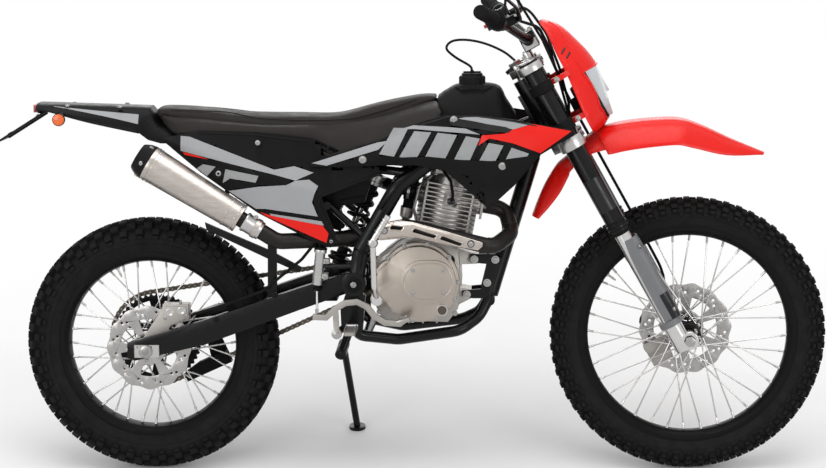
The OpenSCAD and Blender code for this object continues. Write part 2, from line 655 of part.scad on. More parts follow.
// An oval standing or lying between two circles of radius r, a apart along X
module oval(r, a) {
  for (s = [-1, 1]) translate([s * a / 2, 0]) circle(r);
  translate([-a / 2, -r]) square([a, 2 * r]);
}
kick_shaft = [590, 0, 462];
module engine_covers() color(silver) parked() {
  cover_step = right_cover_t * 0.6;
  slab(-case_half - seat_gap, -case_half - cover_step) cover_outline(0);
  slab(-case_half - cover_step + 1, -case_half - right_cover_t) cover_outline(7);
  translate([718, 0, 507]) slab(-case_half - right_cover_t + 1, -case_half - right_cover_t - 9)
    oval(53, 29);
  translate([752, 0, 434]) across(15, -case_half - 4, -case_half - right_cover_t - 4);
  translate(kick_shaft) across(17, -case_half - 4, -case_half - right_cover_t - 4);
  translate([712, 0, 500]) across(62, case_half + seat_gap, case_half + 34);
}
muffler_front = [250, -143, 668];
muffler_back = [26, -140, 808];
muffler_dir = unit(muffler_front - muffler_back);
port_face = cyl_base + [90.3 * cos(cylinder_lean) + port_z * sin(cylinder_lean), -22,
  port_z * cos(cylinder_lean) - 90.3 * sin(cylinder_lean)];
port_dir = [cos(cylinder_lean), 0, -sin(cylinder_lean)];
PIPE = [port_face, port_face + port_dir * 56, [926, -76, 618], [880, -139, 592], [692, -150, 641],
  [660, -122, 642], [622, -94, 632], [560, -88, 618], [500, -88, 608], [440, -108, 608],
  muffler_front + muffler_dir * 110, muffler_front + muffler_dir * seat_gap];
module header_pipe() color([0.2, 0.2, 0.21]) parked() tube(rounded(PIPE, 45), 20);
// Heat shield over the pipe: x, z of the middle, half height, y of the bend's centre
SHIELD = [[590, 634, 5, -150], [602, 635, 19, -150], [651, 641, 21, -150], [681, 642, 17, -150],
  [762, 620.5, 15.5, -147], [843, 600, 10, -143], [853, 603, 4, -143]];
shield_r = 25;
SLOTS = [[627, 652, 29, -2], [681, 646, 60, -19], [750, 629, 52, -22]];
module heat_shield() color(silver) parked() difference() {
  skin([for (r = SHIELD) concat(
    [for (q = [-1, -0.55, 0, 0.55, 1]) let(h = q * r[2])
      [r[0], r[3] - sqrt(shield_r * shield_r - h * h), r[1] + h]],
    [for (q = [1, 0.55, 0, -0.55, -1]) let(h = q * r[2])
      [r[0], r[3] - sqrt(shield_r * shield_r - h * h) + 2.6, r[1] + h]])]);
  for (c = SLOTS) slab(-140, -190) translate([c[0], c[1]]) rotate(c[3]) translate([0, -3])
    square([c[2], 6]);
}
module muffler() color(silver) parked() rod(muffler_front, muffler_back, 36, 45);
module muffler_cap() color(black) parked() rod(muffler_back - muffler_dir * seat_gap,
  muffler_back - muffler_dir * 34, 45, 33);

carb_len = 30;
carb_end = cyl_base + [port_z * sin(cylinder_lean), 0, port_z * cos(cylinder_lean)]
  - (84.6 + carb_len) * port_dir;
// Air box round the back of the shock, with a boot past the shock to the carburettor
module air_box() color(black) parked() {
  slab(-92, 92) polygon([[432, 664], [488, 664], [506, 705], [538, 795], [470, 800], [436, 760]]);
  both() slab(38, 92) polygon([[480, 690], [558, 700], [574, 750], [560, 795], [500, 795]]);
  tube(rounded([carb_end, carb_end - 22 * port_dir, [606, 46, 731], [585, 64, 736], [556, 66, 740]],
    30), 16);
}
module carburettor() color(black) parked() along_cylinder() {
  translate([-84.3, 0, port_z]) rotate([0, -90, 0]) cylinder(r = 25, h = carb_len);
  translate([-112, -18, port_z - 44]) cube([26, 36, 40]);
}

// Bodywork
// Shroud: x, z low, z high, y low, y middle, y high
SHROUD = [[430, 797, 808, 150, 149.7, 148], [520, 797, 838, 154, 153, 144],
  [602, 800, 862, 156, 155, 144], [686, 800, 900, 154, 158, 142], [760, 788, 922, 155, 163, 145],
  [846, 768, 922, 160, 172, 152], [868, 690, 920, 170, 178, 156], [935, 752, 912, 180, 188, 170],
  [999, 828, 900, 188, 196, 182], [1080, 878, 888, 200, 201, 200]];
// Side panel: x, z low, z high, y low, y middle, y high
SIDE = [[60, 858, 868, 112, 113, 112], [100, 824, 876, 116, 120, 116],
  [150, 783, 886, 124, 130, 118], [294, 682, 882, 142, 150, 124], [433, 610, 866, 146, 156, 124],
  [476, 594, 790, 146, 156, 136], [500, 650, 790, 146, 150, 138], [600, 780, 792, 142, 142, 140]];
panel_t = 4;
tank_top = 991;
cap_x = 828;
cap_r = 34;
module fuel_tank() color(black) parked() difference() {
  union() {
    blob([[704, 911, 15, 70, 0.7], [744, 909, 37, 86, 0.6], [762, 919, 49, 90, 0.55],
      [800, 929.5, 61.5, 96, 0.5], [888, 934, 54, 88, 0.5], [914, 922, 30, 70, 0.5],
      [936, 908, 10, 42, 0.6]]);
    for (p = [[800, 880], [880, 892]]) both() translate([p[0], 0, p[1]])
      across(7, 60, panel_y(SHROUD, p[0], p[1]) - panel_t - 3);
    both() translate([846, 78, 855.6]) cylinder(r = 8, h = 34);
  }
  translate([cap_x, 0, tank_top - 7]) cylinder(r = cap_r + 1, h = 20);
}
module fuel_cap() color(black) parked() translate([cap_x, 0, tank_top - 7 + seat_gap]) {
  cylinder(r = cap_r, h = 25);
  translate([0, 0, 24]) cylinder(r = cap_r - 7, h = 8);
}
module shrouds() color(black) parked() both() panel(SHROUD, panel_t);
module side_panels() color(black) parked() both() panel(SIDE, panel_t);
module seat() color(black) parked() blob([[32, 928, 9, 60, 0.9], [60, 926, 13, 68, 0.85],
  [135, 914, 21, 78, 0.8], [263, 896, 25, 88, 0.8], [390, 894.4, 24, 92, 0.7],
  [492, 894.6, 24, 88, 0.7], [594, 910, 34, 70, 0.7], [690, 946, 16, 60, 0.8],
  [738, 958, 6, 46, 0.8]], 0.5);
module rear_fender() color(black) parked() {
  sheet([[-275, 951, 56, 14], [-242, 950, 60, 16], [-136, 946, 66, 40], [14, 940, 72, 66],
    [44, 903, 73, 50], [75, 897, 75, 44], [110, 890, 75, 36]], 4, 4);
  both() translate([80, 49, 873]) cylinder(r = 8, h = 20);
  both() translate([-258, 20, 933.1]) cylinder(r = 5, h = 15);
}
plate_tilt = 31.5;
module plate_bracket() color(black) parked() translate([tail_x, 0, 852])
  rotate([0, -plate_tilt, 0]) difference() {
    translate([0, -40, 0]) cube([150, 80, 4]);
    for (s = [-1, 1]) translate([35, s * 25, -1]) cylinder(r = 3, h = 6);
  }
module tail_lamps() color(red) parked() {
  translate([-288, -22, 926]) cube([18, 44, 19.5]);
  both() {
    translate([-204, 0, 915]) across(16, 104, 120);
    rod([-204, 64.4, 926], [-204, 106, 918], 5);
  }
}
module shock() color(black) parked() {
  d = unit(shock_top - shock_low);
  span = norm(shock_top - shock_low);
  rod(shock_low + d * 24, shock_top - d * 24, 20);
  for (k = [0:coils - 1]) translate(shock_low + d * (42 + k * (span - 96) / (coils - 1)))
    rotate([0, atan2(d.x, d.z), 0]) cylinder(r = 29, h = 8);
  rod(shock_top - d * 50, shock_top - d * 24, 30);
  difference() {
    union() {
      translate(shock_top) across(19, -13, 13);
      translate(shock_low) across(15, -13, 13);
      rod(shock_low, shock_top, 10);
    }
    translate(shock_top) across(12 + seat_gap, -40, 40);
    translate(shock_low) across(8 + seat_gap, -40, 40);
  }
}

// Rear suspension and drive
module swingarm() color(black) parked() difference() {
  union() {
    both() slab(arm_y - arm_t / 2, arm_y + arm_t / 2) polygon([[552, 514], [540, 526],
      [510, 524], [395, 488], [140, 402], [-28, 352], [-48, 346], [-48, 308], [-28, 302],
      [151, 343], [394, 432], [520, 476], [545, 482], [552, 492]]);
    translate([pivot_x, 0, pivot_z]) across(16, -arm_y, arm_y);
    translate([434, -arm_y, 452]) cube([52, 2 * arm_y, 30]);
    for (s = [-1, 1]) slab(s * 14, s * 22) polygon([[450, 478], [490, 478], [482, 526], [458, 526]]);
    // Guard beside the front of the tyre, on a post from the right arm
    slab(-57.5, -65) polygon([[150, 648], [154, 628], [313, 552], [389, 518], [394, 532],
      [318, 574]]);
    slab(-57.5, -65) polygon([[306, 450], [330, 456], [332, 601], [309, 601]]);
    translate([306, -arm_y, 444]) cube([24, arm_y - 57.5, 12]);
    translate(shock_low) across(8, -22, 22);
  }
  translate([pivot_x, 0, pivot_z]) across(9 + seat_gap, -140, 140);
  at_rear_axle() across(axle_r + seat_gap, -140, 140);
}
// The chain's loop: tangent runs between the two sprockets and an arc round each
chain_half = 8.2;
chain_inner = 4.2;
chain_dx = drive_x;
chain_dz = drive_z - rear_r;
chain_span = norm([chain_dx, chain_dz]);
chain_slope = atan2(chain_dz, chain_dx);
rear_pitch_r = pitch_r(rear_teeth);
front_pitch_r = pitch_r(front_teeth);
chain_splay = asin((rear_pitch_r - front_pitch_r) / chain_span);
run_len = chain_span * cos(chain_splay);
rear_arc = rear_pitch_r * (180 + 2 * chain_splay) * PI / 180;
front_arc = front_pitch_r * (180 - 2 * chain_splay) * PI / 180;
chain_len = 2 * run_len + rear_arc + front_arc;
links = 2 * round(chain_len / chain_pitch / 2);
// Point on the loop, d off its pitch line, s along it from the top of the rear sprocket
function loop_at(s, d) =
  let(up = chain_slope + 90 - chain_splay, down = chain_slope - 90 + chain_splay,
    a = [cos(up), sin(up)], b = [cos(down), sin(down)],
    f = [chain_dx, chain_dz])
  s < run_len ? a * (rear_pitch_r + d) + (f + a * (front_pitch_r - rear_pitch_r)) * s / run_len :
  s < run_len + front_arc ?
    let(t = up - (s - run_len) / front_arc * (up - down)) f + (front_pitch_r + d) * [cos(t), sin(t)] :
  s < 2 * run_len + front_arc ?
    let(q = 1 - (s - run_len - front_arc) / run_len)
    b * (rear_pitch_r + d) + (f + b * (front_pitch_r - rear_pitch_r)) * q :
  let(t = down - (s - 2 * run_len - front_arc) / rear_arc * (360 - up + down))
    (rear_pitch_r + d) * [cos(t), sin(t)];
// A wavy band as wide as the link plates, its inner side clear of the sprockets' tips
module chain() color([0.35, 0.34, 0.32]) parked() translate([0, 0, rear_r]) {
  step = chain_len / links;
  outer = [for (k = [0:links - 1]) for (c = [[0, 6.5], [0.5, 4.4]]) loop_at((k + c[0]) * step, c[1])];
  inner = [for (k = [0:links - 1]) loop_at(k * step, -chain_inner)];
  n = len(outer);
  slab(chain_y - chain_half, chain_y + chain_half) polygon(points = concat(outer, inner),
    paths = [[for (i = [0:n - 1]) i], [for (i = [0:links - 1]) n + i]]);
}
module chain_guide() color(black) parked() translate([0, 0, rear_r])
  rotate([0, -chain_slope - chain_splay, 0]) translate([0, 0, -rear_pitch_r]) difference() {
    union() {
      slab(chain_y - 14, chain_y + 14) polygon([[22, -16], [150, -16], [150, 18], [70, 18],
        [22, 8]]);
      slab(chain_y + 10.5, chain_y + 14) polygon([[100, 10], [150, 10], [150, 94], [120, 98]]);
      translate([136, 0, 82]) across(7, chain_y + 12, arm_y - arm_t / 2 - seat_gap);
    }
    slab(chain_y - 10.5, chain_y + 10.5) polygon([[0, -11], [160, -11], [160, 13], [76, 13],
      [76, 40], [0, 40]]);
  }
module rear_caliper() color(silver) parked() at_rear_axle() {
  difference() {
    union() {
      translate([40, rear_disc_y - 16, 72]) cube([66, 40, 42]);
      slab(-86, -arm_y + arm_t / 2 + seat_gap) polygon([[-24, -14], [10, -24], [60, 60], [104, 80],
        [100, 110], [44, 110], [-16, 22]]);
    }
    across(rear_disc_r + 3, rear_disc_y - disc_t / 2 - 2, rear_disc_y + disc_t / 2 + 2);
    across(axle_r + seat_gap, -140, 0);
  }
}
module rear_axle() color(silver) parked() at_rear_axle() {
  across(axle_r, -arm_y - 26, arm_y + 26);
  both() across(17, arm_y + arm_t / 2 + seat_gap, arm_y + arm_t / 2 + 10);
}

// Controls on the frame
module footpegs() color(black) parked() both() translate([527, 0, 396]) {
  translate([-14, 149.3, -9]) cube([28, 90, 16]);
}
// A flat bar of half width w along a line in XZ
function strip(path, w) = let(n = len(path), dirs = [for (i = [0:n - 1])
  unit(path[min(i + 1, n - 1)] - path[max(i - 1, 0)])]) concat(
  [for (i = [0:n - 1]) path[i] + w * [-dirs[i][1], dirs[i][0]]],
  [for (i = [n - 1:-1:0]) path[i] - w * [-dirs[i][1], dirs[i][0]]]);
PEDAL = [[430, 421], [463, 419], [486, 441], [511, 456], [541, 459], [566, 446], [583, 423],
  [610, 406], [647, 403], [668, 420]];
module foot_levers() color(silver) parked() {
  slab(-152, -161) polygon(strip(PEDAL, 7.5));
  slab(-152, -161) polygon(strip([[pedal_pivot.x, pedal_pivot.z - 6], [486, 441]], 7));
  slab(-150, -172) polygon(strip([[640, 407], [672, 416]], 5));
  translate(pedal_pivot) across(13, -150, -164);
  tube(rounded([[640, case_half + seat_gap, 420], [640, 130, 420], [700, 138, 426],
    [772, 142, 432], [772, 168, 432]], 12), 6, side = [1, 0, 0]);
}
module kick_lever() color(silver) parked() {
  face = case_half + right_cover_t + 4 + seat_gap;
  translate(kick_shaft) across(13, -face, -face - 20);
  tube(rounded([[590, -face - 10, 468], [586, -186, 500], [584, -190, 616], [624, -194, 680]], 14),
    8);
  translate([585, -190, 612]) sphere(r = 13);
}
module rear_master() color(silver) parked() {
  up = unit(master_top - master_low);
  rod(master_low, master_top, 13);
  rod(master_top, master_top + up * 9, 16);
  rod(master_low - up * 16, master_low, 9);
  rod([440, -156, 429], master_low - up * 12, 3);
}

// Side stand, deployed. Its foot is cut level with the ground
stand_top = [480, 134, 292];
foot_point = [504, foot_y, (foot_y * sin(lean) - park_z) / cos(lean) + 4];
stand_dir = unit(foot_point - stand_top);
folded_dir = unit([-0.99, 0.08, 0.1]);
stand_axis = unit(cross(stand_dir, folded_dir));
module side_stand() color(black) parked() {
  difference() {
    union() {
      rod(stand_top - stand_axis * 10, stand_top + stand_axis * 10, 15);
      rod(stand_top, foot_point, stand_r);
    }
    rod(stand_top - stand_axis * 20, stand_top + stand_axis * 20, 5 + running_gap);
  }
  translate(foot_point) rotate([lean, 0, 0]) translate([0, 0, -4]) cylinder(r = 22, h = 8);
}

frame();
engine_case();
engine_cylinder();
engine_covers();
carburettor();
air_box();
header_pipe();
heat_shield();
muffler();
muffler_cap();
fuel_tank();
fuel_cap();
shrouds();
side_panels();
seat();
rear_fender();
plate_bracket();
tail_lamps();
shock();
swingarm();
chain();
chain_guide();
rear_caliper();
rear_axle();
footpegs();
foot_levers();
kick_lever();
rear_master();
triple_clamps();
fork_tubes();
fork_sliders();
fork_guards();
front_axle();
handlebar();
grips();
bar_controls();
headlight_mask();
headlamp();
front_fender();
front_caliper();
brake_hose();
front_tyre();
front_rim();
front_spokes();
front_hub();
front_disc();
rear_tyre();
rear_rim();
rear_spokes();
rear_hub();
rear_disc();
rear_sprocket();
side_stand();
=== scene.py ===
"""Looks of the parked off-road motorcycle: camera, stage, materials and the detailed pieces.

Shapes are written in millimetres in the bike's own frame, upright, with X forward, Y to the left,
Z up and the origin under the rear axle. BIKE_TO_ROW leans the bike onto its stand, in metres.
Steered pieces are written in the head frame, with z along the steering axis.
"""
import json
import math
import random

import bmesh
import bpy
import numpy as np
from mathutils import Matrix, Vector


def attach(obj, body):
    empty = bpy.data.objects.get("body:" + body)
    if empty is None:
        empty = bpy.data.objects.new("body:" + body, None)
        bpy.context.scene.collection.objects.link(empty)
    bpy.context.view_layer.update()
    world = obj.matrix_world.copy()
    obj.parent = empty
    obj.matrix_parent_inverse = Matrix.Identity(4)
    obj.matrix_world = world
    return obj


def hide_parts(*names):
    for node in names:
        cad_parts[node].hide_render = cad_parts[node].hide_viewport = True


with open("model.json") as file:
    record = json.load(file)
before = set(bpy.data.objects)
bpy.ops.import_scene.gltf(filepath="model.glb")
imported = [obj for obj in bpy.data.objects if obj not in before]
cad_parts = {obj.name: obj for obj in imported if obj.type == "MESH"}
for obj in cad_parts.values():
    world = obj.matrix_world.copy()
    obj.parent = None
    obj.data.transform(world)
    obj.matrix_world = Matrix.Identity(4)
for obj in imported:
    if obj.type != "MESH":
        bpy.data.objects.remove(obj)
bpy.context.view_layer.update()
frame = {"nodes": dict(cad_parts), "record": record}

# Frames of reference, the same as in the part's source
LEAN = math.radians(10)
RAKE = math.radians(28.6)
PARK = Vector((-671.41, -205.77, 0.638))
HEAD = Vector((996, 0, 927))
FRONT_R, REAR_R = 350, 327
FRONT_CROWN, REAR_CROWN = 42, 54
FRONT_RIM_R, REAR_RIM_R = 278, 240
FORK_X, FORK_Y, FORK_TUBE_R, SLIDER_R = 32, 95, 25, 21.5
AXLE_X = 52
AXLE_Z = (FRONT_R - HEAD.z - AXLE_X * math.sin(RAKE)) / math.cos(RAKE)
UPPER_CLAMP_Z, LOWER_CLAMP_Z = 104, -108
CASE_HALF, COVER_OUT = 84, 136
CHAIN_Y = 70
BIKE_TO_ROW = (Matrix.Scale(0.001, 4) @ Matrix.Translation(PARK)
               @ Matrix.Rotation(-LEAN, 4, "X"))
HEAD_TO_BIKE = Matrix.Translation(HEAD) @ Matrix.Rotation(-RAKE, 4, "Y")
HEAD_TO_ROW = BIKE_TO_ROW @ HEAD_TO_BIKE
REAR_AXLE = BIKE_TO_ROW @ Matrix.Translation((0, 0, REAR_R))
FRONT_AXLE = HEAD_TO_ROW @ Matrix.Translation((AXLE_X, 0, AXLE_Z))
CYLINDER = (BIKE_TO_ROW @ Matrix.Translation((748, 0, 604))
            @ Matrix.Rotation(math.radians(11), 4, "Y"))


def to_row(point):
    return BIKE_TO_ROW @ Vector(point)


# Camera of the photograph, fitted to the wheels and axles
IMAGE_WIDTH = 826
SENSOR = 36.0
FOCAL_PIXELS = 2185.36
CAMERA_AT = (972.26, -5509.62, 1389.81)
CAMERA_YAW, CAMERA_PITCH, CAMERA_ROLL = -0.0541, 0.141, -0.012


def make_camera():
    yaw, pitch, roll = CAMERA_YAW, CAMERA_PITCH, CAMERA_ROLL
    ahead = Vector((math.sin(yaw) * math.cos(pitch), math.cos(yaw) * math.cos(pitch),
                    -math.sin(pitch)))
    right = ahead.cross(Vector((0, 0, 1))).normalized()
    up = right.cross(ahead)
    rolled_right = right * math.cos(roll) + up * math.sin(roll)
    rolled_up = up * math.cos(roll) - right * math.sin(roll)
    turn = Matrix((rolled_right, rolled_up, -ahead)).transposed().to_4x4()
    data = bpy.data.cameras.new("camera")
    data.sensor_width = SENSOR
    data.lens = FOCAL_PIXELS / IMAGE_WIDTH * SENSOR
    data.clip_end = 100
    camera = bpy.data.objects.new("camera", data)
    bpy.context.collection.objects.link(camera)
    camera.matrix_world = (Matrix.Translation(to_row(CAMERA_AT))
                           @ Matrix.Rotation(-LEAN, 4, "X") @ turn)
    bpy.context.scene.camera = camera


# Materials
def new_material(name):
    material = bpy.data.materials.new(name)
    material.use_nodes = True
    tree = material.node_tree
    return material, tree, tree.nodes["Principled BSDF"]


def noise(tree, scale, detail=4.0, rough=0.55, stretch=None):
    """A noise texture over the object's own coordinates, in metres."""
    coords = tree.nodes.new("ShaderNodeTexCoord")
    texture = tree.nodes.new("ShaderNodeTexNoise")
    texture.inputs["Scale"].default_value = scale
    texture.inputs["Detail"].default_value = detail
    texture.inputs["Roughness"].default_value = rough
    source = coords.outputs["Object"]
    if stretch:
        mapping = tree.nodes.new("ShaderNodeMapping")
        mapping.inputs["Scale"].default_value = stretch
        tree.links.new(source, mapping.inputs["Vector"])
        source = mapping.outputs["Vector"]
    tree.links.new(source, texture.inputs["Vector"])
    return texture.outputs["Fac"]


def ramp(tree, factor, low, high, at=(0.3, 0.7)):
    node = tree.nodes.new("ShaderNodeValToRGB")
    node.color_ramp.elements[0].position, node.color_ramp.elements[1].position = at
    node.color_ramp.elements[0].color = low
    node.color_ramp.elements[1].color = high
    tree.links.new(factor, node.inputs["Fac"])
    return node.outputs["Color"]


def grey(value):
    return (value, value, value, 1)


def srgb(r, g, b):
    """A colour given as it shows, 0 to 255, as linear light."""
    def linear(c):
        c /= 255
        return c / 12.92 if c <= 0.04045 else ((c + 0.055) / 1.055) ** 2.4
    return (linear(r), linear(g), linear(b), 1)


def shade(colour, share):
    return (colour[0] * share, colour[1] * share, colour[2] * share, 1)


def surface(name, colour, rough, metal=0.0, vary=0.12, mottle=18.0, grain=900.0, bump=0.05,
            depth=0.0003, coat=0.0, rough_vary=0.08, stretch=None, spec=0.5):
    """A finish whose colour and roughness drift, with a fine grain in its bump."""
    material, tree, bsdf = new_material(name)
    drift = noise(tree, mottle, stretch=stretch)
    colours = ramp(tree, drift, shade(colour, 1 - vary), shade(colour, 1 + vary))
    tree.links.new(colours, bsdf.inputs["Base Color"])
    fine = noise(tree, grain, 2.0, stretch=stretch)
    roughs = ramp(tree, noise(tree, mottle * 3, stretch=stretch), grey(max(0.02, rough - rough_vary)),
                  grey(rough + rough_vary))
    tree.links.new(roughs, bsdf.inputs["Roughness"])
    bumps = tree.nodes.new("ShaderNodeBump")
    bumps.inputs["Strength"].default_value = bump
    bumps.inputs["Distance"].default_value = depth
    tree.links.new(fine, bumps.inputs["Height"])
    tree.links.new(bumps.outputs["Normal"], bsdf.inputs["Normal"])
    bsdf.inputs["Metallic"].default_value = metal
    bsdf.inputs["Coat Weight"].default_value = coat
    bsdf.inputs["Coat Roughness"].default_value = 0.1
    bsdf.inputs["Specular IOR Level"].default_value = spec
    return material


RED = srgb(218, 22, 14)
M = {
    "red_plastic": surface("red_plastic", RED, 0.32, vary=0.03, bump=0.03, spec=0.3),
    "red_film": surface("red_film", srgb(222, 26, 16), 0.36, vary=0.02, bump=0.02, spec=0.25),
    "grey_film": surface("grey_film", srgb(154, 155, 157), 0.4, vary=0.02, bump=0.02, spec=0.2),
    "pale_film": surface("pale_film", srgb(150, 151, 152), 0.4, vary=0.06, mottle=60, bump=0.02,
                         spec=0.2),
    "gloss_black": surface("gloss_black", srgb(9, 9, 10), 0.26, vary=0.1, bump=0.03, spec=0.35),
    "black_plastic": surface("black_plastic", srgb(22, 21, 21), 0.5, vary=0.14, bump=0.3,
                             spec=0.08),
    "satin_black": surface("satin_black", srgb(14, 14, 14), 0.36, vary=0.12, spec=0.1),
    "frame_paint": surface("frame_paint", srgb(9, 9, 10), 0.24, vary=0.1, spec=0.2),
    "rubber": surface("rubber", srgb(18, 18, 18), 0.6, vary=0.2, bump=0.5, mottle=60, spec=0.08),
    "seat_vinyl": surface("seat_vinyl", srgb(38, 35, 34), 0.5, vary=0.1, bump=0.6, mottle=10,
                          grain=420, depth=0.0006, spec=0.08),
    "tyre_rubber": surface("tyre_rubber", srgb(27, 26, 26), 0.66, vary=0.25, bump=0.5, mottle=40,
                           grain=500, spec=0.08),
    "cast_alloy": surface("cast_alloy", srgb(158, 154, 149), 0.42, metal=0.9, vary=0.08,
                          bump=0.12, grain=1400),
    "machined": surface("machined", srgb(180, 179, 178), 0.3, metal=0.95, vary=0.05, bump=0.04),
    "brushed": surface("brushed", srgb(178, 171, 165), 0.34, metal=0.95, vary=0.1, mottle=8,
                       bump=0.05, stretch=(1, 14, 14)),
    "warm_cover": surface("warm_cover", srgb(166, 157, 148), 0.36, metal=0.85, vary=0.04,
                          bump=0.04),
    "polished": surface("polished", srgb(196, 195, 194), 0.18, metal=1.0, vary=0.04, bump=0.02),
    "stamped": surface("stamped", srgb(180, 172, 164), 0.28, metal=0.95, vary=0.05, bump=0.03),
    "steel": surface("steel", srgb(140, 139, 138), 0.32, metal=1.0, vary=0.08, bump=0.03),
    "bolt": surface("bolt", srgb(160, 159, 157), 0.28, metal=1.0, vary=0.12, bump=0.03),
    "dark_pipe": surface("dark_pipe", srgb(34, 31, 29), 0.42, metal=0.5, vary=0.2, mottle=30,
                         spec=0.3),
    "disc": surface("disc", srgb(164, 162, 160), 0.3, metal=1.0, vary=0.05, mottle=60, bump=0.04),
    "chain_steel": surface("chain_steel", srgb(84, 77, 68), 0.4, metal=1.0, vary=0.2, mottle=120),
    "grey_plastic": surface("grey_plastic", srgb(112, 113, 115), 0.4, vary=0.04, spec=0.25),
    "lens": surface("lens", srgb(186, 191, 194), 0.08, coat=0.3, vary=0.05),
    "red_lens": surface("red_lens", srgb(170, 16, 12), 0.14, coat=0.5, vary=0.1),
    "amber_lens": surface("amber_lens", srgb(226, 98, 14), 0.14, coat=0.4, vary=0.1),
    "glass_oil": surface("glass_oil", srgb(60, 40, 20), 0.08, coat=0.6, vary=0.2),
    "fin_alloy": surface("fin_alloy", srgb(164, 161, 157), 0.4, metal=0.9, vary=0.08, bump=0.12,
                         grain=1200),
}
NODE_FINISH = {
    "frame": "frame_paint", "engine_case": "cast_alloy", "engine_cylinder": "fin_alloy",
    "engine_covers": "warm_cover", "carburettor": "satin_black", "air_box": "black_plastic",
    "header_pipe": "dark_pipe", "heat_shield": "stamped", "muffler": "brushed",
    "muffler_cap": "black_plastic", "fuel_tank": "black_plastic", "fuel_cap": "black_plastic",
    "shrouds": "black_plastic", "side_panels": "black_plastic", "seat": "seat_vinyl",
    "rear_fender": "black_plastic", "plate_bracket": "black_plastic", "tail_lamps": "red_lens",
    "shock": "satin_black", "swingarm": "frame_paint", "chain": "chain_steel",
    "chain_guide": "black_plastic", "rear_caliper": "cast_alloy", "rear_axle": "steel",
    "footpegs": "steel", "foot_levers": "cast_alloy", "kick_lever": "polished",
    "rear_master": "machined", "triple_clamps": "machined", "fork_tubes": "frame_paint",
    "fork_sliders": "polished", "fork_guards": "grey_plastic", "front_axle": "steel",
    "handlebar": "frame_paint", "grips": "rubber", "bar_controls": "satin_black",
    "headlight_mask": "red_plastic", "headlamp": "lens", "front_fender": "red_plastic",
    "front_caliper": "cast_alloy", "brake_hose": "rubber", "front_tyre": "tyre_rubber",
    "front_rim": "satin_black", "front_spokes": "polished", "front_hub": "satin_black",
    "front_disc": "disc", "rear_tyre": "tyre_rubber", "rear_rim": "satin_black",
    "rear_spokes": "polished", "rear_hub": "satin_black", "rear_disc": "disc",
    "rear_sprocket": "satin_black", "side_stand": "frame_paint",
}
SLOTS = {node["node"]: node["material_slot"] for node in frame["record"]["subparts"]}


def smooth_group():
    """A node group that shades a mesh smooth up to an edge angle."""
    group = bpy.data.node_groups.new("smooth_by_angle", "GeometryNodeTree")
    group.interface.new_socket("Geometry", in_out="INPUT", socket_type="NodeSocketGeometry")
    group.interface.new_socket("Geometry", in_out="OUTPUT", socket_type="NodeSocketGeometry")
    first, last = group.nodes.new("NodeGroupInput"), group.nodes.new("NodeGroupOutput")
    angle = group.nodes.new("GeometryNodeInputMeshEdgeAngle")
    flat = group.nodes.new("ShaderNodeMath")
    flat.operation = "LESS_THAN"
    flat.inputs[1].default_value = math.radians(34)
    faces = group.nodes.new("GeometryNodeSetShadeSmooth")
    edges = group.nodes.new("GeometryNodeSetShadeSmooth")
    edges.domain = "EDGE"
    link = group.links.new
    link(first.outputs[0], faces.inputs["Geometry"])
    link(faces.outputs["Geometry"], edges.inputs["Geometry"])
    link(angle.outputs["Unsigned Angle"], flat.inputs[0])
    link(flat.outputs[0], edges.inputs["Shade Smooth"])
    link(edges.outputs["Geometry"], last.inputs[0])
    return group


SMOOTH = smooth_group()


def soften(piece, width=0.0009):
    """Welded, softly rounded edges and smooth round faces."""
    weld = piece.modifiers.new("weld", "WELD")
    weld.merge_threshold = 0.00002
    if width:
        bevel = piece.modifiers.new("edges", "BEVEL")
        bevel.width = width
        bevel.segments = 2
        bevel.limit_method = "ANGLE"
        bevel.angle_limit = math.radians(36)
        bevel.use_clamp_overlap = True
    shade_it = piece.modifiers.new("shade", "NODES")
    shade_it.node_group = SMOOTH


def dress_nodes():
    """Every CAD node gets its finish and softly rounded edges."""
    for name, finish in NODE_FINISH.items():
        node = frame["nodes"][name]
        for slot in node.material_slots:
            slot.material = M[finish]
        soften(node)


# Making of pieces
def unit(v):
    v = np.asarray(v, float)
    return v / np.linalg.norm(v)


def spline(rows, per):
    """Rows of numbers joined by a Catmull-Rom curve, per steps from one row to the next."""
    rows = np.asarray(rows, float)
    ends = np.vstack([2 * rows[0] - rows[1], rows, 2 * rows[-1] - rows[-2]])
    out = []
    for i in range(1, len(ends) - 2):
        p0, p1, p2, p3 = ends[i - 1:i + 3]
        for k in range(per):
            t = k / per
            out.append(0.5 * (2 * p1 + (p2 - p0) * t + (2 * p0 - 5 * p1 + 4 * p2 - p3) * t * t
                              + (3 * p1 - p0 - 3 * p2 + p3) * t ** 3))
    return np.array(out + [rows[-1]])


def linear(rows, per):
    rows = np.asarray(rows, float)
    out = [rows[i] + (rows[i + 1] - rows[i]) * k / per
           for i in range(len(rows) - 1) for k in range(per)]
    return np.array(out + [rows[-1]])


def rounded(path, radius, steps=6):
    """The path with its corners rounded by arcs."""
    path = [np.asarray(p, float) for p in path]
    out = [path[0]]
    for a, b, c in zip(path, path[1:], path[2:]):
        u, w = unit(b - a), unit(c - b)
        turn = math.acos(max(-1, min(1, float(u @ w))))
        if turn < 0.03:
            out.append(b)
            continue
        reach = min(radius * math.tan(turn / 2), 0.48 * np.linalg.norm(b - a),
                    0.48 * np.linalg.norm(c - b))
        q = reach / math.tan(turn / 2)
        v = unit(w - (u @ w) * u)
        centre = b - u * reach + v * q
        for k in range(steps + 1):
            a2 = turn * k / steps
            out.append(centre - v * q * math.cos(a2) + u * q * math.sin(a2))
    return out + [path[-1]]


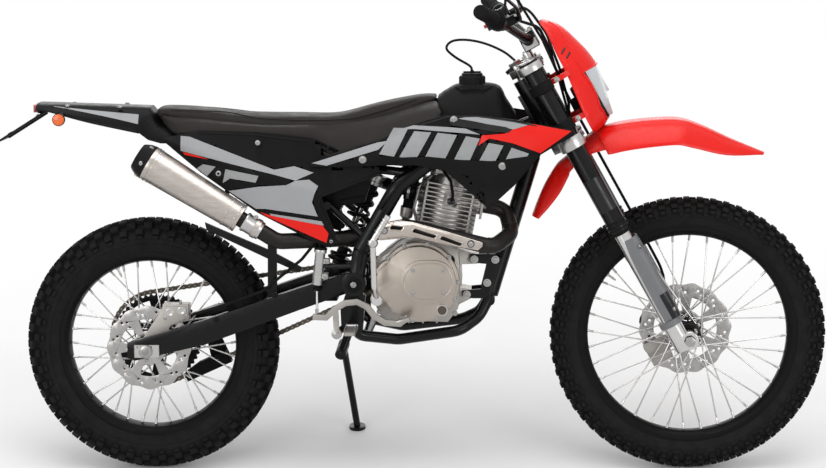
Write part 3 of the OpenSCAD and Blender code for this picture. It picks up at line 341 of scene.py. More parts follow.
class Piece:
    """Gathers shapes, each with its finish, into one mesh that rides on a body."""

    def __init__(self, name, body, place=BIKE_TO_ROW):
        self.name, self.body, self.place = name, body, place
        self.verts, self.faces, self.marks, self.finishes = [], [], [], []

    def add(self, verts, faces, finish, turn=None):
        if finish not in self.finishes:
            self.finishes.append(finish)
        start = len(self.verts)
        if turn is not None:
            verts = [turn @ Vector(v) for v in verts]
        self.verts += [tuple(v) for v in verts]
        self.faces += [[start + i for i in face] for face in faces]
        self.marks += [self.finishes.index(finish)] * len(faces)

    def rings(self, rings, finish, closed=True, caps=True, turn=None, loop=False):
        m, n = len(rings), len(rings[0])
        faces = []
        for i in range(m if loop else m - 1):
            for j in range(n if closed else n - 1):
                a, b = i * n + j, i * n + (j + 1) % n
                c, d = ((i + 1) % m) * n + (j + 1) % n, ((i + 1) % m) * n + j
                faces.append([a, b, c, d])
        if caps and not loop:
            faces += [list(range(n - 1, -1, -1)), [(m - 1) * n + j for j in range(n)]]
        self.add([p for ring in rings for p in ring], faces, finish, turn)

    def tube(self, path, radius, finish, sides=14, bend=None, turn=None, flat=1.0, side=(0, 1, 0)):
        """A tube along a path; radius is one number or one for each point."""
        path = rounded(path, bend) if bend else [np.asarray(p, float) for p in path]
        radii = [radius] * len(path) if np.isscalar(radius) else radius
        ways = [unit(path[min(i + 1, len(path) - 1)] - path[max(i - 1, 0)])
                for i in range(len(path))]
        u = np.asarray(side, float)
        if abs(u @ ways[0]) > 0.95:
            u = np.array([1.0, 0, 0])
        rings = []
        for point, way, r in zip(path, ways, radii):
            u = unit(u - (u @ way) * way)
            w = np.cross(way, u)
            rings.append([point + u * r * math.cos(a) + w * r * flat * math.sin(a)
                          for a in np.linspace(0, 2 * math.pi, sides, endpoint=False)])
        self.rings(rings, finish, turn=turn)

    def turned(self, profile, at, axis, finish, sides=32, turn=None):
        """A turned shape. profile is (distance along the axis, radius)."""
        axis = unit(axis)
        u = unit(np.cross(axis, [0.3, 0.2, 1] if abs(axis[2]) < 0.9 else [1, 0, 0]))
        w = np.cross(axis, u)
        at = np.asarray(at, float)
        angles = np.linspace(0, 2 * math.pi, sides, endpoint=False)
        self.rings([[at + axis * s + (u * math.cos(a) + w * math.sin(a)) * max(r, 0.01)
                     for a in angles] for s, r in profile], finish, turn=turn)

    def slab(self, outline, y1, y2, finish, turn=None, chamfer=1.0):
        """A side view in XZ given thickness along Y, with chamfered rims."""
        centre = np.mean(np.asarray(outline, float), axis=0)
        def ring(inset, y):
            return [(x + (centre[0] - x) * inset, y, z + (centre[1] - z) * inset)
                    for x, z in outline]
        spread = np.max(np.linalg.norm(np.asarray(outline) - centre, axis=1))
        inset = chamfer / spread
        sign = 1 if y2 > y1 else -1
        self.rings([ring(inset, y1), ring(0, y1 + sign * chamfer), ring(0, y2 - sign * chamfer),
                    ring(inset, y2)], finish, turn=turn)

    def box(self, low, high, finish, turn=None, chamfer=1.0):
        self.slab([(low[0], low[2]), (high[0], low[2]), (high[0], high[2]), (low[0], high[2])],
                  low[1], high[1], finish, turn, chamfer)

    def bolt(self, at, axis, r, finish="bolt", high=None, turn=None):
        """A bolt head with a hex socket on a washer."""
        axis = unit(axis)
        high = high or r * 0.9
        self.turned([(-0.5, r * 1.45), (r * 0.18, r * 1.45), (r * 0.22, r), (high, r),
                     (high + r * 0.12, r * 0.86), (high + r * 0.12, r * 0.5), (high * 0.5, r * 0.46)],
                    at, axis, finish, 12, turn)

    def build(self, replaces=(), slot=None, width=0.0, angle=34, weld=True):
        mesh = bpy.data.meshes.new(self.name)
        scaled = [self.place @ Vector(v) for v in self.verts]
        mesh.from_pydata(scaled, [], self.faces)
        for finish in self.finishes:
            mesh.materials.append(M[finish])
        for face, mark in zip(mesh.polygons, self.marks):
            face.material_index = mark
            face.use_smooth = True
        bm = bmesh.new()
        bm.from_mesh(mesh)
        if weld:
            bmesh.ops.remove_doubles(bm, verts=bm.verts, dist=0.000005)
        bmesh.ops.recalc_face_normals(bm, faces=bm.faces)
        bm.to_mesh(mesh)
        bm.free()
        mesh.set_sharp_from_angle(angle=math.radians(angle))
        piece = bpy.data.objects.new(self.name, mesh)
        bpy.context.collection.objects.link(piece)
        if width:
            bevel = piece.modifiers.new("edges", "BEVEL")
            bevel.width = width
            bevel.segments = 2
            bevel.limit_method = "ANGLE"
            bevel.angle_limit = math.radians(40)
        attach(piece, self.body)
        nodes = [replaces] if isinstance(replaces, str) else list(replaces)
        if nodes:
            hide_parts(*nodes)
        if slot or nodes:
            slot or SLOTS[nodes[0]]
        return piece


def decal(piece, outline, height, finish, lift=0.6, grid=14):
    """A film cut to an outline in XZ, laid on the surface y = height(x, z)."""
    bm = bmesh.new()
    bm.faces.new([bm.verts.new((x, 0, z)) for x, z in outline])
    for axis in (0, 2):
        values = [p[0 if axis == 0 else 1] for p in outline]
        cut = math.ceil(min(values) / grid) * grid
        while cut < max(values):
            normal, at = [0, 0, 0], [0, 0, 0]
            normal[axis], at[axis] = 1, cut
            bmesh.ops.bisect_plane(bm, geom=bm.verts[:] + bm.edges[:] + bm.faces[:],
                                   plane_co=at, plane_no=normal)
            cut += grid
    bmesh.ops.triangulate(bm, faces=bm.faces)
    bm.verts.index_update()
    for side in (1, -1):
        verts = []
        for v in bm.verts:
            y = height(v.co.x, v.co.z)
            verts.append((v.co.x, side * (y + lift), v.co.z))
        piece.add(verts, [[v.index for v in face.verts] for face in bm.faces], finish)
    bm.free()


def inside(point, outline):
    x, z = point
    odd = False
    for (x1, z1), (x2, z2) in zip(outline, outline[1:] + outline[:1]):
        if (z1 > z) != (z2 > z) and x < x1 + (z - z1) / (z2 - z1) * (x2 - x1):
            odd = not odd
    return odd


def film(piece, outline, place, finish, lift=0.6, thick=None, holes=(), grid=9, sides=(1, -1)):
    """A sheet cut to an outline and laid on a surface. place(a, b, out, side) gives its points."""
    bm = bmesh.new()
    bm.faces.new([bm.verts.new((a, b, 0)) for a, b in outline])
    bmesh.ops.triangulate(bm, faces=bm.faces)
    cuts = []
    for axis in (0, 1):
        values = [p[axis] for p in outline]
        for c in np.arange(math.ceil(min(values) / grid) * grid, max(values), grid):
            cuts.append(((c, 0, 0), (1, 0, 0)) if axis == 0 else ((0, c, 0), (0, 1, 0)))
    for hole in holes:
        for p, q in zip(hole, hole[1:] + hole[:1]):
            cuts.append(((p[0], p[1], 0), (q[1] - p[1], p[0] - q[0], 0)))
    for at, normal in cuts:
        bmesh.ops.bisect_plane(bm, geom=bm.verts[:] + bm.edges[:] + bm.faces[:], plane_co=at,
                               plane_no=normal, dist=0.001)
    gone = [f for f in bm.faces if any(inside(f.calc_center_median()[:2], h) for h in holes)]
    bmesh.ops.delete(bm, geom=gone, context="FACES")
    bmesh.ops.remove_doubles(bm, verts=bm.verts, dist=0.25)
    bmesh.ops.dissolve_degenerate(bm, dist=0.05, edges=bm.edges)
    bmesh.ops.triangulate(bm, faces=bm.faces)
    bm.verts.index_update()
    n = len(bm.verts)
    thick = lift if thick is None else thick
    top = [[v.index for v in face.verts] for face in bm.faces]
    low = [[n + i for i in reversed(face)] for face in top]
    walls = [[e.verts[0].index, e.verts[1].index, n + e.verts[1].index, n + e.verts[0].index]
             for e in bm.edges if len(e.link_faces) == 1]
    points = [v.co[:2] for v in bm.verts]
    bm.free()
    for side in sides:
        piece.add([place(a, b, lift, side) for a, b in points]
                  + [place(a, b, lift - thick, side) for a, b in points],
                  top + low + walls, finish)


def upright(height):
    """Places a film on the outer faces of the left and right panels."""
    return lambda x, z, out, side: (x, side * (height(x, z) + out), z)


def sheet_rings(rows, t, e, columns=24, ridge=None):
    """The rings of a curved sheet along a path in XZ, as in the part's source."""
    us = np.linspace(-1, 1, columns + 1)
    rings = []
    for i, row in enumerate(rows):
        a, b = rows[max(i - 1, 0)], rows[min(i + 1, len(rows) - 1)]
        d = unit([b[0] - a[0], b[1] - a[1]])
        normal = (-d[1], d[0])
        out = []
        for u, under in [(u, 0) for u in us] + [(u, 1) for u in us[::-1]]:
            h = -row[3] * abs(u) ** e - t * under - (ridge(u, row) if ridge else 0)
            out.append((row[0] + normal[0] * h, row[2] * u, row[1] + normal[1] * h))
        rings.append(out)
    return rings


def blob_rings(rows, e, sides=40):
    """The rings of a rounded body along X, as in the part's source."""
    rings = []
    for x, z, half_h, half_w, top in rows:
        out = []
        for k in range(sides):
            a = (k + 0.5) * 2 * math.pi / sides
            c, s = math.cos(a), math.sin(a)
            h, w = abs(s) ** e * math.copysign(1, s), abs(c) ** e * math.copysign(1, c)
            out.append((x, half_w * w * (1 + (top - 1) * (h + 1) / 2), z + half_h * h))
        rings.append(out)
    return rings
# Bodywork, from the same sizes as the part's source
SHROUD = [[430, 797, 808, 150, 149.7, 148], [520, 797, 838, 154, 153, 144],
          [602, 800, 862, 156, 155, 144], [686, 800, 900, 154, 158, 142],
          [760, 788, 922, 155, 163, 145], [846, 768, 922, 160, 172, 152],
          [868, 690, 920, 170, 178, 156], [935, 752, 912, 180, 188, 170],
          [999, 828, 900, 188, 196, 182], [1080, 878, 888, 200, 201, 200]]
SIDE = [[60, 858, 868, 112, 113, 112], [100, 824, 876, 116, 120, 116],
        [150, 783, 886, 124, 130, 118], [294, 682, 882, 142, 150, 124],
        [433, 610, 866, 146, 156, 124], [476, 594, 790, 146, 156, 136],
        [500, 650, 790, 146, 150, 138], [600, 780, 792, 142, 142, 140]]
WINDOW = [(457, 721), (612, 778), (640, 760), (500, 610), (482, 644)]
PANEL_T = 4
# Coloured fields of the shrouds and side panels, as seen from the side, and one dark field of painted
# shade over the shroud's recessed slot
SLASHES = [[(637, 892), (673, 891), (638, 822), (601, 828)],
           [(688, 884), (730, 881), (692, 815), (651, 821)],
           [(746, 880), (794, 875), (758, 804), (710, 812)],
           [(816, 872), (850, 866), (818, 798), (780, 803)],
           [(872, 856), (908, 850), (876, 788), (838, 793)],
           [(928, 845), (970, 831), (944, 784), (898, 786)]]
SHROUD_GREY = [[(433, 806), (470, 800), (599, 839), (622, 860), (596, 856)],
               [(653, 888), (686, 898), (772, 894), (816, 890), (851, 876), (689, 889)],
               [(796, 914), (827, 920), (976, 902), (932, 889), (829, 909)]]
SHROUD_RED = [[(980, 902), (1074, 886), (998, 832), (982, 838), (930, 856), (873, 867),
               (846, 849), (855, 874), (912, 879), (932, 889)]]
# Painted shade: a gloss black field laid over the shroud's recessed slot, standing in for the shade
# inside it
SHROUD_RECESS_SHADE = [(774, 907), (803, 911), (913, 895), (928, 889), (921, 881), (899, 882), (781, 898)]
SCOOP = [(640, 801), (686, 801), (760, 789), (845, 769), (867, 694), (909, 730), (935, 756),
         (997, 829), (950, 822), (880, 812), (800, 814), (720, 822), (660, 820)]
SIDE_GREY = [[(103, 873), (126, 871), (339, 790), (389, 798), (437, 782), (403, 768), (392, 763),
              (339, 778), (209, 810), (102, 836)],
             [(392, 763), (426, 765), (448, 749), (439, 730), (432, 709), (446, 673), (314, 692),
              (291, 692), (222, 736), (300, 748), (369, 752)],
             [(325, 680), (455, 661), (461, 650), (329, 674)]]
SIDE_RED = [[(300, 684), (329, 675), (457, 650), (472, 630), (466, 606), (319, 672)],
            [(108, 833), (144, 825), (173, 815), (112, 826)]]
SIDE_PATCH = [[(159, 803), (191, 797), (168, 773), (142, 792)],
              [(216, 791), (300, 775), (292, 758), (227, 768), (208, 756)]]


# Lines in XZ between which the shrouds' outer faces are curved: x, z low, z high
SHROUD_SPAN = [[430, 790, 812], [520, 795, 838], [602, 797, 862], [686, 796, 900],
               [760, 778, 922], [846, 745, 922], [935, 745, 914], [999, 800, 900],
               [1080, 860, 888]]


def shroud_height():
    """The outer face of a shroud, y at (x, z), curved between the lines of SHROUD_SPAN."""
    table, edges = spline(SHROUD, 8), spline(SHROUD_SPAN, 8)

    def height(x, z):
        low, high = (float(np.interp(x, edges[:, 0], edges[:, k])) for k in (1, 2))
        y1, y2, y3 = (float(np.interp(x, table[:, 0], table[:, k])) for k in (3, 4, 5))
        t = min(max((z - low) / max(high - low, 8), 0), 1)
        return 2 * (y1 - 2 * y2 + y3) * t * t + (4 * y2 - 3 * y1 - y3) * t + y1
    return height


def side_height(x, z):
    """The outer face of a side panel, creased along its middle."""
    table = np.array(SIDE, float)
    low, high, y1, y2, y3 = (float(np.interp(x, table[:, 0], table[:, k])) for k in range(1, 6))
    t = min(max((z - low) / (high - low), 0), 1)
    return float(np.interp(t, (0, 0.5, 1), (y1, y2, y3)))


def panel_outline(rows):
    return [(r[0], r[1]) for r in rows] + [(r[0], r[2]) for r in rows[::-1]]


def rim_line(piece, points, place, radius, finish, out=0.5, loop=False):
    """A rounded bead along a line on both panels."""
    for side in (1, -1):
        path = [place(x, z, out, side) for x, z in linear(points + points[:1] * loop, 4)]
        piece.tube(path, radius, finish, 8, side=(0.1, 1, 0.2))


def make_shrouds():
    on = upright(shroud_height())
    piece = Piece("shrouds_moulded", "chassis")
    film(piece, panel_outline(SHROUD), on, "satin_black", lift=0, thick=PANEL_T)
    for field in SHROUD_GREY:
        film(piece, field, on, "grey_film", 1.0)
    for field in SLASHES:
        film(piece, field, on, "pale_film", 1.0)
    for field in SHROUD_RED:
        film(piece, field, on, "red_film", 1.2)
    # Painted shade of the recessed slot, laid as a raised gloss black film
    film(piece, SHROUD_RECESS_SHADE, on, "gloss_black", 1.3)
    film(piece, SCOOP, on, "black_plastic", 1.4)
    rim_line(piece, [(700, 897), (770, 918), (846, 919), (930, 908), (990, 897)], on, 1.8,
             "gloss_black", 0)
    for x, z in ((786, 912), (560, 815), (905, 800)):
        for side in (1, -1):
            piece.bolt(on(x, z, 1, side), (0, side, 0), 6.5, "bolt", 3)
    piece.build("shrouds", angle=28)


def make_side_panels():
    """Side panels with the opening at their front, over the mounting ears behind it."""
    on = upright(side_height)
    piece = Piece("side_panels_moulded", "chassis")
    film(piece, panel_outline(SIDE), on, "satin_black", lift=0, thick=PANEL_T, holes=[WINDOW])
    for field in SIDE_GREY:
        film(piece, field, on, "grey_film", 1.0)
    for field in SIDE_RED:
        film(piece, field, on, "red_film", 1.1)
    for field in SIDE_PATCH:
        film(piece, field, on, "pale_film", 1.0)
    rim_line(piece, [(455, 724), (448, 700), (468, 660), (481, 630), (494, 606)], on, 3,
             "black_plastic", 0.5)
    rim_line(piece, [(457, 724), (540, 755), (600, 778)], on, 3, "black_plastic", 0.5)
    rim_line(piece, [(150, 880), (294, 874), (420, 858)], on, 2, "black_plastic", 0)
    for s in (1, -1):
        ear = on(470, 700, -PANEL_T, s)
        piece.turned([(-1, 9), (0, 10), (3.5, 10), (4.5, 9)], ear, (0, s, 0), "black_plastic", 24)
        piece.box((455, min(s * 150, s * 146), 694), (470, max(s * 150, s * 146), 706),
                  "black_plastic")
    for x, z, r in ((198, 780, 11), (478, 610, 7)):
        for side in (1, -1):
            at = on(x, z, 0.6, side)
            piece.turned([(-1, r + 3), (1.5, r + 3), (2.6, r + 1.4), (2.6, r - 1)], at,
                         (0, side, 0), "black_plastic", 28)
            piece.bolt(on(x, z, 1.4, side), (0, side, 0), r * 0.62, "bolt", 3)
    piece.build("side_panels", angle=28)


# Top edge of the panels under the seat and the line on the seat's side above it: x, z, y
SKIRT_LOW = [[52, 908, 70], [90, 884, 108], [150, 884, 116], [294, 879, 121], [433, 862, 122],
             [470, 824, 136], [520, 836, 141], [602, 860, 141], [686, 898, 139],
             [736, 912, 138], [752, 918, 120]]
SKIRT_HIGH = [[52, 920, 64], [90, 916, 74], [150, 912, 80], [294, 898, 90], [433, 896, 91],
              [470, 896, 90], [520, 900, 86], [602, 914, 71], [686, 940, 60],
              [736, 950, 52], [752, 930, 90]]


def make_seat_skirt():
    """The seat's lower cover, from its cushion down to the panels at each side."""
    piece = Piece("seat_skirt", "chassis")
    low, high = spline(SKIRT_LOW, 6), spline(SKIRT_HIGH, 6)
    for s in (1, -1):
        rings = []
        for a, b in zip(low, high):
            middle = (a + b) / 2 + np.array([0, 5, 5]) * 0.8
            line = [np.array([a[0], a[2] - 3, a[1] - 6]), np.array([a[0], a[2], a[1]]),
                    np.array([middle[0], (a[2] + b[2]) / 2 + 5, (a[1] + b[1]) / 2 + 5]),
                    np.array([b[0], b[2], b[1]])]
            outer = spline(line, 4)
            rings.append([(p[0], s * p[1], p[2]) for p in outer]
                         + [(p[0], s * (p[1] - 3), p[2] - 1.5) for p in outer[::-1]])
        piece.rings(rings, "seat_vinyl")
    piece.build(slot=SLOTS["seat"], angle=50)


REAR_FENDER = [[-275, 951, 56, 14], [-242, 950, 60, 16], [-136, 946, 66, 40], [14, 940, 72, 66],
               [44, 903, 73, 50], [75, 897, 75, 44], [110, 890, 75, 36]]


def make_rear_fender():
    piece = Piece("rear_fender_moulded", "chassis")
    rows = np.vstack([spline(REAR_FENDER[:4], 6), linear(REAR_FENDER[3:], 3)[1:]])
    rings = sheet_rings(rows, 4, 4, 32)
    piece.rings(rings, "satin_black")
    # Grey fields on the drooping sides, over the sheet's own columns
    for side in (0, 1):
        strip = []
        for ring, row in zip(rings, rows):
            if -236 < row[0] < 6:
                column = ring[:33] if side else ring[32::-1]
                a, b = np.array(column[1]), np.array(column[4])
                out = np.array([0, 0.9 if side == 0 else -0.9, 0.5])
                wedge = 0.1 + 0.8 * (row[0] + 236) / 242
                strip.append([tuple(b + (a - b) * wedge + out), tuple(b + out)])
        rear = [tuple(np.array(p)) for p in (strip[0])]
        piece.rings(strip, "grey_film", closed=False, caps=False)
    for s in (1, -1):
        piece.turned([(0, 8), (20, 8)], (80, s * 49, 873), (0, 0, 1), "black_plastic", 20)
        piece.turned([(0, 5), (15, 5)], (-258, s * 20, 933.1), (0, 0, 1), "black_plastic", 16)
        piece.bolt((-195, s * 46, 944), (0, 0, 1), 5, "bolt", 3)
        piece.bolt((-60, s * 52, 940.5), (0, 0, 1), 5, "bolt", 3)
    piece.build("rear_fender", angle=40)


TANK = [[704, 911, 15, 70, 0.7], [739, 909, 36, 85, 0.6], [743, 914, 48, 87, 0.55],
        [764, 921, 55, 91, 0.52],
        [800, 929.5, 61.5, 96, 0.5], [888, 934, 54, 88, 0.5], [914, 922, 30, 70, 0.5],
        [936, 908, 10, 42, 0.6]]


def make_tank():
    on = shroud_height()
    piece = Piece("fuel_tank_moulded", "chassis")
    rows = np.vstack([linear(TANK[:2], 2), spline(TANK[2:], 5)])
    piece.rings(blob_rings(rows, 0.62), "black_plastic")
    for s in (1, -1):
        for x, z in ((800, 880), (880, 892)):
            piece.tube([(x, s * 60, z), (x, s * (on(x, z) - PANEL_T - 3), z)], 7,
                       "black_plastic")
        piece.turned([(0, 8), (34, 8)], (846, s * 78, 855.6), (0, 0, 1), "black_plastic", 20)
        # Moulded ribs beside the cap
        for k in range(4):
            y = s * (39 + k * 5.5)
            piece.tube([(786 + k * 5, y, 983 - k * 2.2), (826, y, 987 - k * 2.4),
                        (880 - k * 6, y, 984 - k * 2.2)], 1.9, "black_plastic", 8)
    piece.turned([(-10, 38), (2, 38), (4, 36)], (828, 0, 984.2), (0, 0, 1), "black_plastic", 36)
    piece.build("fuel_tank", angle=50)


def make_fuel_cap():
    piece = Piece("fuel_cap_ribbed", "chassis")
    base = (828, 0, 984.4)
    rings = []
    for s, r in [(0, 32), (1.5, 33.6), (21, 33.6), (24.5, 31), (25, 27), (31, 26), (32, 24)]:
        ring = []
        for k in range(96):
            a = k * 2 * math.pi / 96
            ribs = r - (1.6 if k % 6 < 2 else 0) * (1 < s < 24)
            ring.append((base[0] + ribs * math.cos(a), ribs * math.sin(a), base[2] + s))
        rings.append(ring)
    piece.rings(rings, "black_plastic")
    piece.box((806, -4, 1014), (850, 4, 1020.5), "black_plastic")
    piece.turned([(0, 4.4), (5, 4.4), (5.6, 3)], (828, 0, 1018), (0, 0, 1), "rubber", 16)
    hose = [(828, 0, 1020), (822, 0, 1034), (786, 0, 1056), (764, 0, 1078), (778, 1, 1096),
            (815, 2, 1099), (862, 4, 1089), (908, 5, 1068), (938, 4, 1044), (962, 0, 1022)]
    piece.tube(spline(hose, 5), 3.2, "rubber", 10)
    piece.build("fuel_cap", angle=30)


FENDER = [[-147, -230, 36, 14], [-118, -205, 42, 28], [-79, -175, 50, 38], [-30, -147, 58, 34],
          [0, -140, 60, 26], [45, -127, 62, 30], [84, -118, 66, 44], [106, -116, 78, 58],
          [161, -129, 86, 60], [230, -157, 89, 58], [294, -191, 86, 55], [334, -233, 76, 50],
          [385, -302, 56, 34], [442, -373, 34, 14]]


def make_front_fender():
    def ridge(u, row):
        step = min(max((abs(u) - 0.42) / 0.1, 0), 1)
        fade = min(max((row[0] - 30) / 60, 0), 1) * min(max((430 - row[0]) / 60, 0), 1)
        return 3.2 * fade * step * step * (3 - 2 * step)
    piece = Piece("front_fender_moulded", "steering", HEAD_TO_ROW)
    rows = [list(row) for row in FENDER]
    rows[-1] = [440, -371, 16, 3]
    piece.rings(sheet_rings(spline(rows, 5), 4, 3, 48, ridge), "red_plastic")
    base = LOWER_CLAMP_Z - 15
    for x in (-12, 14):
        for s in (1, -1):
            piece.turned([(-14, 7), (0, 7)], (FORK_X + x, s * 26, base), (0, 0, 1),
                         "red_plastic", 20)
            piece.bolt((FORK_X + x, s * 26, base - 28), (0, 0, -1), 5, "bolt", 4)
    piece.build("front_fender", angle=50)


MASK = [[118, 190, 40, 10], [146, 157, 58, 34], [166, 100, 72, 58], [177, 54, 82, 70],
        [180, -5, 90, 78], [164, -64, 92, 68], [143, -104, 84, 48], [126, -117, 60, 30]]
LAMP = [(-60, 27), (60, 27), (54, -68), (33, -100), (-33, -100), (-54, -68)]


def make_mask():
    table = spline(MASK, 8)[::-1]

    def place(y, z, out, side):
        x, half, sweep = (float(np.interp(z, table[:, 1], table[:, k])) for k in (0, 2, 3))
        share = min(abs(y) / half, 1)
        return (x - sweep * share ** 2 + out, y, z)
    edge = [(row[2], row[1]) for row in table]
    outline = edge + [(-y, z) for y, z in edge[::-1]]
    hole = [(y * 1.02, z * 1.01) for y, z in LAMP]
    piece = Piece("headlight_mask_moulded", "steering", HEAD_TO_ROW)
    film(piece, outline, place, "red_plastic", lift=0, thick=4, holes=[hole], grid=6, sides=(1,))
    # Bead round the lamp's opening and creases from its corners to the top
    path = [place(y * 1.06, z * 1.03, 0.4, 1) for y, z in linear(hole + hole[:1], 10)]
    piece.tube(path, 2.4, "red_plastic", 8)
    for s in (1, -1):
        crease = [(s * 62, 30), (s * 58, 70), (s * 46, 110), (s * 30, 150), (s * 22, 178)]
        piece.tube([place(y, z, -0.6, 1) for y, z in spline(crease, 6)], 2.2, "red_plastic", 8)
    # Strap slots as raised gloss black beads, painted shade of the open slots; brackets and rubber
    # mounts
    for s in (1, -1):
        for z in (104, 88):
            path = [place(s * (56 + k * 3), z - k * 2, 0.4, 1) for k in range(5)]
            piece.tube(path, 2.2, "gloss_black", 8)
        for z, reach in ((40, 54), (-70, 46)):
            x = FORK_X + FORK_TUBE_R + 0.3
            piece.box((x, s * 78 - 0 if s > 0 else -90, z), (x + reach, 90 if s > 0 else -78,
                                                            z + 14), "red_plastic")
            piece.bolt((x + 18, s * 91, z + 7), (0, s, 0), 5, "bolt", 4)
            piece.turned([(-13, 29.5), (-12, 31), (12, 31), (13, 29.5)], (FORK_X, s * FORK_Y, z + 7),
                         (0, 0, 1), "rubber", 32)
    piece.build("headlight_mask", angle=50)


def make_headlamp():
    piece = Piece("headlamp_lens", "steering", HEAD_TO_ROW)
    centre = np.mean(LAMP, axis=0)

    def ring(share, x_of):
        return [(x_of(z), centre[0] + (y - centre[0]) * share, centre[1] + (z - centre[1]) * share)
                for y, z in linear(LAMP + LAMP[:1], 6)[:-1]]
    front = lambda z: 176 - (10 - z) * 20 / 114 if z < 10 else 176 + (z - 10) * 0.1
    piece.rings([ring(1, lambda z: 120), ring(1, lambda z: 146)], "gloss_black", caps=False)
    piece.rings([ring(1, lambda z: 146), ring(1, lambda z: min(front(z) - 4, 172)),
                 ring(0.97, lambda z: min(front(z), 176)),
                 ring(0.86, lambda z: min(front(z), 176)),
                 ring(0.84, lambda z: min(front(z) - 2, 174))], "lens", caps=False)
    # Fluted lens and the bowl behind it
    piece.rings([ring(0.84, lambda z: min(front(z) - 2, 174)),
                 ring(0.6, lambda z: min(front(z) - 0.6, 175)),
                 ring(0.3, lambda z: min(front(z), 176)),
                 ring(0.02, lambda z: min(front(z), 176))], "lens", caps=False)
    for k in range(-7, 8):
        y = k * 6.4
        top, low = (12, -84 + abs(k) * 3)
        path = [(min(front(z), 176) - 0.8, y, z) for z in np.linspace(top, low, 5)]
        piece.tube(path, 0.9, "lens", 6)
    piece.turned([(0, 40), (30, 52), (31, 50)], (90, 0, -36), (1, 0, 0), "satin_black", 40)
    piece.turned([(-16, 14), (-14, 16), (0, 16)], (90, 0, -36), (1, 0, 0), "rubber", 24)
    piece.build("headlamp", angle=40)


def make_tail():
    piece = Piece("tail_lamps_detailed", "chassis")
    piece.box((-288, -22, 926), (-276, 22, 945.5), "red_lens", chamfer=3)
    piece.box((-277, -24, 924), (-270, 24, 947), "black_plastic", chamfer=1.5)
    for k in range(4):
        z = 929.5 + k * 4.2
        piece.tube([(-288.3, -18, z), (-288.3, 18, z)], 0.8, "red_lens", 6)
    for s in (1, -1):
        at = (-204, s * 104, 915)
        piece.turned([(0, 12), (2, 15.4), (12, 16), (13, 14.8)], at, (0, s, 0), "black_plastic", 36)
        piece.turned([(12, 14.6), (14.4, 13.8), (15.8, 9), (16, 3), (16, 0.01)], at, (0, s, 0),
                     "amber_lens", 36)
        for r in (4, 7.6, 11):
            path = [(-204 + r * math.cos(a), s * (104 + 15.9 - (r / 14) ** 3), 915 + r * math.sin(a))
                    for a in np.linspace(0, 2 * math.pi, 29)]
            piece.tube(path, 0.6, "amber_lens", 6)
        piece.tube([(-204, s * 64.4, 926), (-204, s * 84, 922), (-204, s * 106, 918)],
                   [5.6, 4.6, 5.6], "rubber", 14)
    piece.build("tail_lamps", angle=40)


# Wheels, in the frames of their axles: y across, angles round the axle
def make_tyre(name, node, body, place, R, crown, lug, rim_r, rim_half, pitches, layout):
    """A knobbly tyre. layout lists (share of a pitch, crown angle, half length, half width)."""
    random.seed(7)
    mid = R - crown
    piece = Piece(name, body, place)
    low = crown - lug
    section = [(mid + low * math.cos(math.radians(p)), low * math.sin(math.radians(p)))
               for p in range(-100, 101, 8)]
    bead = [(rim_r + 5, rim_half + 4), (rim_r + 0.4, rim_half + 1), (rim_r + 0.4, rim_half - 4)]
    profile = [(r, -y) for r, y in bead[::-1]] + section + bead
    steps = 120
    rings = [[(r * math.cos(a), y, r * math.sin(a)) for r, y in profile]
             for a in np.linspace(0, 2 * math.pi, steps, endpoint=False)]
    piece.rings(rings, "tyre_rubber", loop=True)
    for s in (1, -1):
        # Raised rings and moulded ribs on the sidewall
        for p, r0 in ((104, 1.1), (86, 0.9)):
            r, y = mid + low * math.cos(math.radians(p)), s * (low * math.sin(math.radians(p)) + 0.2)
            path = [(r * math.cos(a), y, r * math.sin(a))
                    for a in np.linspace(0, 2 * math.pi, 97)]
            piece.tube(path, r0, "tyre_rubber", 6)
    for k in range(pitches):
        for share, crown_angle, half_long, half_wide, raised in layout:
            theta = (k + share) * 2 * math.pi / pitches
            for mirror in ((1, -1) if crown_angle else (1,)):
                shift = 0.0 if mirror > 0 else math.pi / pitches * (raised < 1)
                wear = 1 - 0.03 * random.random()
                levels = []
                for out, grow in ((-1.5, 1.28), (lug * raised * 0.35, 1.12),
                                  (lug * raised - 1.2, 1.0), (lug * raised, 0.88)):
                    w = low + out * wear if out > 0 else low + out
                    if out == lug * raised:
                        w = low + lug * raised
                    ring = []
                    for du, dv in ((-1, -1), (1, -1), (1, 1), (-1, 1)):
                        t = theta + shift + du * half_long * grow / R
                        p = math.radians(mirror * crown_angle) + dv * half_wide * grow / crown
                        r, y = mid + w * math.cos(p), w * math.sin(p)
                        ring.append((r * math.cos(t), y, r * math.sin(t)))
                    levels.append(ring)
                piece.rings(levels, "tyre_rubber")
    piece.build(node, angle=32)


REAR_KNOBS = [(0.0, 0, 10.5, 12, 1), (0.5, 17, 9.5, 9, 1), (0.0, 41, 11, 8.5, 1),
              (0.5, 64, 10, 7, 1), (0.0, 80, 8, 5, 0.55)]
FRONT_KNOBS = [(0.0, 11, 7.5, 6.4, 1), (0.5, 32, 8, 6.2, 1), (0.0, 54, 8.5, 5.8, 1),
               (0.5, 73, 6.5, 4.6, 0.9), (0.0, 87, 6, 3.6, 0.45)]


